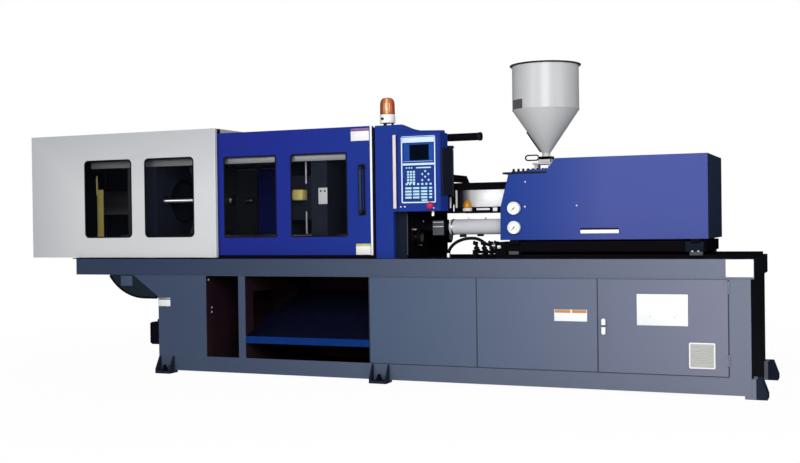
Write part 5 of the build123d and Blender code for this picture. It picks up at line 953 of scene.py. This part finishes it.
# Valve block and hose
# Steel valve block on the deck with elbow fittings. One pressure hose rises from the deck, arches over
# and enters the block's face. It is stiff, and both its ends are crimped.
dress("hose_manifold", black_enamel, 0.002)
elbows, bright_fittings = [], []
for i, x in enumerate((774, 828, 880, 918)):
    y = -20 + 10 * i
    elbows += [turned([(0, 845), (22, 845), (22, 862), (13, 864), (13, 892), (19, 894), (19, 912), (11, 914),
                       (11, 948), (0, 948)], (x, y, 0), "Z", 20), turned([(0, x - 22), (15, x - 22),
                                                                          (15, x - 12), (10, x - 11),
                                                                          (10, x + 10), (0, x + 10)],
                                                                         (0, y, 940), "X", 16),
               turned([(0, x), (9, x), (9, x + 16), (14, x + 17), (14, x + 24), (0, x + 24)], (0, y, 884),
                      "X", 16)]
bright_fittings.append(turned([(0, 1022), (12, 1022), (12, 1040), (8, 1044), (0, 1044)], (0, -310, 918), "X",
                              6))
piece("elbow_fittings", elbows, "root", black_plastic)
piece("bright_fitting", bright_fittings + [disc(9, 10, (1030, -305, 918), "Y", 1, 12)], "root", bright_edge)
hose_points = [(648, -252, 845), (648, -252, 891), (684, -253, 937), (740, -255, 967), (808, -255, 979),
               (874, -254, 973), (934, -252, 925), (1000, -252, 925)]
hose = cord_curve("pressure_hose", hose_points, 22, rubber)
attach(hose, "root")
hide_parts("supply_hose")
crimps = piece("hose_crimps", [turned([(11.3, 846), (15, 846), (15, 872), (13.5, 876), (11.3, 876)],
                                      (648, -252, 0), "Z", 24), turned([(11.3, 966), (13.5, 966), (15, 970),
                                                                        (15, 999.5), (11.3, 999.5)],
                                                                       (0, -252, 925), "X", 24)], "root",
               zinc)

# Plasticising unit
# Folded blue cover on a black carriage. A drip tray shows its edge at the left, with studs. Two
# gauges stand on the side, a pull slot is pressed below, and the carriage runs on ground rails.
# As painted light, the cover's blue runs lighter towards the right; its right end face, past X 2.4022 m, is
# painted dark as painted shade.
cover_enamel = enamel("cover_enamel", (0.015, 0.044, 0.232), rough=0.4, drift=0.02,
                      painted_light=((0.063, 0.083, 0.282), 0.85, 1.75),
                      parts=((lambda finish: finish.along(0) > 2.4022, (0.02, 0.03, 0.06)),))
dress("injection_cover", cover_enamel, 0.0015)
dress("injection_carriage", black_enamel, 0.002)
dress("shot_cylinders", tank_enamel, 0.001)
dress("thrust_plate", tank_enamel, 0.002)
dress("screw", chrome, 0.001)
slot_lip = [block(1597, 1847, -359, -350, 1004, 1028, 9, 4)]
piece("pull_slot_lip", both_sides(slot_lip), "carriage", bright_edge)
# The cup's upper strip over the slot is a painted shadow.
slot_cup_and_shadow = [block(1592, 1847, -352, -330, 1000, 1033, 3), block(1597, 1847, -356.5, -350, 1029, 1041, 3)]
piece("pull_slot_cup", both_sides(slot_cup_and_shadow), "carriage", black_plastic)
cover_bolts = [(1232, -355, 1349), (1227, -355, 1185), (1575, -355, 1187)]
cover_heads = screws(cover_bolts, head=5, proud=3)
piece("cover_bolts", both_sides(cover_heads), "carriage", bright_edge)
tray_edge = [block(1080, 1378, -357, -349, 1402, 1416, 3), block(1072, 1080, -349, 349, 1404, 1414, 2)]
studs = [turned([(0, 1411), (13, 1411), (13, 1421), (8, 1424), (8, 1437), (0, 1438)], (x, y, 0), "Z", 12)
         for y in (-342, 342) for x in (1150, 1183, 1216, 1249, 1282, 1315, 1348, 1368)]
piece("tray_edge", tray_edge + [mirrored(tray_edge[0])], "carriage", black_plastic)
piece("tray_studs", studs, "carriage", black_plastic)
shoe_bolts = [hexagon(2286 + k, side * 345, 885, 893, 17) for k in (18, 54) for side in (-1, 1)]
shoe_blocks = [block(2288, 2368, side * 350 - 6, side * 350 + 6, 862, 884, 2) for side in (-1, 1)]
shoe_blocks += [block(1112, 1180, side * 350 - 6, side * 350 + 6, 868, 890, 2) for side in (-1, 1)]
piece("shoe_blocks", shoe_blocks, "carriage", grey_plate)
dull_slate = enamel("dull_slate", (0.010, 0.014, 0.024), rough=0.5)
piece("shoe_cheeks", [block(2262, 2372, side * 348 - 3, side * 348 + 3, 884, 948, 2) for side in (-1, 1)],
      "carriage", dull_slate)
piece("shoe_bolts", shoe_bolts, "carriage", zinc, sharp=25)

# Gauges
# Chromed bezel, white dial with scale marks, numbers and a black pointer that turns on its spindle.
dress("pressure_gauges", plate_white, 0.001)
dial_white = Finish("dial_white", (0.84, 0.84, 0.82), 0.3)
dial_white.set("Base Color", dial_white.shade(dial_white.noise(20), 0.97, 1.03))
dial_white = dial_white.material
mark_black = Finish("mark_black", (0.02, 0.02, 0.02), 0.4)
mark_black.set("Roughness", 0.35 + 0.1 * mark_black.noise(50))
mark_black = mark_black.material
gauge_x, dial_y = 1156, -372.0
bezels, dials, marks = [], [], []
for z in (1048, 1176):
    bezels.append(turned([(37, -373), (37, -383), (39, -385), (42, -384), (43, -380), (43, -366), (42, -362),
                          (37, -362)], (gauge_x, 0, z), "Y", 64))
    dials.append(turned([(4, dial_y - 0.6), (37.4, dial_y - 0.6), (37.4, dial_y + 0.6), (4, dial_y + 0.6),
                         (4, dial_y - 0.6)], (gauge_x, 0, z), "Y", 48))
    for step in range(31):
        turn = radians(225 - 9 * step)
        long = step % 5 == 0
        for reach in np.linspace(27 if long else 30, 33.5, 3):
            x, up = gauge_x + reach * cos(turn), z + reach * sin(turn)
            marks.append(disc(0.9 if long else 0.6, 0.5, (x, dial_y - 0.8, up), "Y", 0.1, 6))
piece("gauge_bezels", bezels, "carriage", bright_edge)
piece("gauge_dials", dials, "carriage", dial_white)
piece("gauge_marks", marks, "carriage", mark_black)
dress("gauge_needle_lower", mark_black, 0)
dress("gauge_needle_upper", mark_black, 0)


def numbers(name, values, radius, at, height):
    """Scale numbers standing on a dial that faces the operator."""
    shapes = []
    for value, turn in values:
        letters = bpy.data.curves.new(name, "FONT")
        letters.body = str(value)
        letters.size = height
        letters.extrude = 0.0002
        letters.align_x = "CENTER"
        letters.align_y = "CENTER"
        held = bpy.data.objects.new(name, letters)
        bpy.context.scene.collection.objects.link(held)
        bpy.context.view_layer.update()
        mesh = bpy.data.meshes.new_from_object(held.evaluated_get(bpy.context.evaluated_depsgraph_get()))
        points = np.zeros(len(mesh.vertices) * 3, np.float32)
        mesh.vertices.foreach_get("co", points)
        points = points.reshape(-1, 3) * 1000
        faces = [tuple(face.vertices) for face in mesh.polygons]
        bpy.data.objects.remove(held)
        middle = (at[0] + radius * cos(radians(turn)), at[1], at[2] + radius * sin(radians(turn)))
        placed = np.stack([middle[0] + points[:, 0], middle[1] - points[:, 2], middle[2] + points[:, 1]], -1)
        shapes.append((placed, faces))
    return shapes


scale = [(5 * k, 225 - 45 * k) for k in range(7)]
figures = [shape for z in (1048, 1176) for shape in numbers("figures", scale, 22, (gauge_x, dial_y - 0.6, z),
                                                            0.0075)]
piece("gauge_numbers", figures, "carriage", mark_black)

# Hopper
# Spun and rolled sheet, brushed along its turns: cylinder, cone, wired rim and a seam. A dark sight
# window is riveted on, and a black bar along the cone's lower left edge is painted shade on that edge.
# The flat gate has an upright oval pull.
hopper_steel = Finish("hopper_steel", (0.51, 0.515, 0.52), 0.45, Metallic=0.05, Specular_IOR_Level=0.2)
turned_grain = hopper_steel.noise(5, 3, (0.3, 0.3, 12))
hopper_steel.set("Base Color", hopper_steel.shade(turned_grain, 0.98, 1.02))
hopper_steel.set("Roughness", 0.32 + 0.06 * turned_grain)
hopper_steel.bump(hopper_steel.noise(12, 3, (0.4, 0.4, 40)), 0.00003)
hopper_steel = hopper_steel.material
axis_x = 1281
wall = [(225, 2156), (225, 1851), (25.2, 1556), (25.2, 1533), (28, 1533), (28, 1554), (29, 1556), (226, 1846),
        (228, 1850), (228, 2148), (228, 2150)]
wall += [(228, 2156), (225, 2156)]
shell = piece("hopper_shell", [turned(wall, (axis_x, 0, 0), "Z", 128)], "carriage", hopper_steel,
              sharp=24)
rim = [(224, 2150), (240, 2150), (243, 2153), (243.5, 2156), (242, 2159), (238, 2160), (226, 2158),
       (224, 2156), (224, 2150)]
piece("hopper_rim", [turned(rim, (axis_x, 0, 0), "Z", 128)], "carriage", black_plastic, sharp=50)
gate_house = [block(1236, 1326, -45, 45, 1508.6, 1532, 2), block(1236, 1326, -45, -40.5, 1490, 1532, 1),
              block(1236, 1326, 40.5, 45, 1490, 1532, 1), block(1318.5, 1326, -45, 45, 1490, 1532, 1),
              block(1195, 1335, -50, 50, 1476, 1489, 2), block(1205, 1229, -40, 40, 1440, 1476, 2),
              block(1301, 1325, -40, 40, 1440, 1476, 2)]
piece("gate_house", gate_house, "carriage", tube_paint)
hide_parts("hopper")
seam_turn = radians(40)
seam = [block(-4, 4, -1.2, 1.2, 1853, 2149, 1)]
seam_points, seam_faces = seam[0]
seam_spin = np.array([[-sin(seam_turn), cos(seam_turn), 0], [cos(seam_turn), sin(seam_turn), 0], [0, 0, 1]])
seam_place = (seam_points @ seam_spin) + (axis_x + 228 * cos(seam_turn), 228 * sin(seam_turn), 0)
fold = turned([(227.5, 1847), (230, 1848.5), (230.3, 1851), (229.5, 1853), (227.5, 1854)], (axis_x, 0, 0),
              "Z", 128)
piece("hopper_seams", [(seam_place, seam_faces), fold], "carriage", hopper_steel)
sight_low, sight_high = 1852, 1916
t = np.linspace(radians(208), radians(242), 12)
around, up = np.meshgrid(t, np.linspace(sight_low, sight_high, 4), indexing="ij")
sight = np.stack([axis_x + 230.2 * np.cos(around), 230.2 * np.sin(around), up], -1).reshape(-1, 3)
inner = np.stack([axis_x + 228.0 * np.cos(around), 228.0 * np.sin(around), up], -1).reshape(-1, 3)
rows = lattice(12, 4, False)
edge_loop = [*range(4), *range(7, 48, 4), 46, 45, 44, *range(40, 0, -4)]
sides = [[a, b, b + 48, a + 48] for a, b in zip(edge_loop, edge_loop[1:] + edge_loop[:1])]
sight_shape = (np.concatenate([sight, inner]), rows + [[i + 48 for i in face[::-1]] for face in rows] + sides)
sight_grey = Finish("sight_window", (0.075, 0.075, 0.08), 0.12)
sight_grey.set("Base Color", sight_grey.shade(sight_grey.noise(14), 0.8, 1.2))
piece("sight_window", [sight_shape], "carriage", sight_grey.material, sharp=60)
bar_turn = radians(200)
bar_path = [(axis_x + r * cos(bar_turn), r * sin(bar_turn), z) for r, z in ((131, 1702), (97, 1650),
                                                                            (63, 1600), (38, 1563))]
piece("cone_edge_shade", [carried(bar_path, [(-8, -5), (8, -5), (8, 6), (-8, 6)])], "carriage", black_plastic)
dress("slide_gate", black_plastic, 0.0012)

# Studio
# Pale floor and white surroundings, a large lamp at the right of the camera, a weaker one at the left
# and a small one far out at the right side.
floor_finish = Finish("floor_pale", (0.93, 0.93, 0.93), 0.9)
spread = floor_finish.node("ShaderNodeVectorMath", {"operation": "LENGTH"}, {0: floor_finish.place}, out=1)
fade = floor_finish.node("ShaderNodeMapRange", None, {0: spread, 1: 2.0, 2: 6.0, 3: 0.97, 4: 1.0})
seen = floor_finish.node("ShaderNodeLightPath", out=0)
white = floor_finish.node("ShaderNodeEmission", None, {"Color": (1, 1, 1, 1), "Strength": 1.0})
own = Value(floor_finish, floor_finish.surface.outputs[0])
mixed = floor_finish.node("ShaderNodeMixShader", None, {0: seen * fade, 1: own, 2: white})
floor_finish.tree.links.new(mixed.socket, floor_finish.tree.nodes["Material Output"].inputs["Surface"])
floor_mesh = bpy.data.meshes.new("floor")
reach = 60
floor_mesh.from_pydata([(-reach, -reach, 0), (reach, -reach, 0), (reach, reach, 0), (-reach, reach, 0)], [],
                       [(0, 1, 2, 3)])
floor_mesh.materials.append(floor_finish.material)
floor = bpy.data.objects.new("floor", floor_mesh)
bpy.context.scene.collection.objects.link(floor)

world = bpy.data.worlds.new("studio")
bpy.context.scene.world = world
world.use_nodes = True
tree = world.node_tree
ambient = tree.nodes["Background"]
ambient.inputs["Color"].default_value = (1, 1, 1, 1)
ambient.inputs["Strength"].default_value = 0.26
shown = tree.nodes.new("ShaderNodeBackground")
shown.inputs["Color"].default_value = (1, 1, 1, 1)
shown.inputs["Strength"].default_value = 1.0
rays = tree.nodes.new("ShaderNodeLightPath")
choice = tree.nodes.new("ShaderNodeMixShader")
tree.links.new(rays.outputs["Is Camera Ray"], choice.inputs[0])
tree.links.new(ambient.outputs[0], choice.inputs[1])
tree.links.new(shown.outputs[0], choice.inputs[2])
tree.links.new(choice.outputs[0], tree.nodes["World Output"].inputs["Surface"])


def lamp(name, place, aim, size, watts):
    """Square area lamp at a place, facing a point."""
    held = bpy.data.lights.new(name, "AREA")
    held.size = size
    held.energy = watts
    made = bpy.data.objects.new(name, held)
    bpy.context.scene.collection.objects.link(made)
    made.location = place
    made.rotation_euler = (Vector(aim) - Vector(place)).to_track_quat("-Z", "Y").to_euler()


lamp("right_lamp", (2.7, -5.4, 2.6), (1.7, 0, 0.9), 2.4, 195)
lamp("left_lamp", (-2.6, -7.0, 2.4), (-1.4, 0, 1.2), 3.0, 140)
lamp("side_lamp", (6.5, -2.6, 2.2), (1.6, 0, 1.4), 2.0, 45)
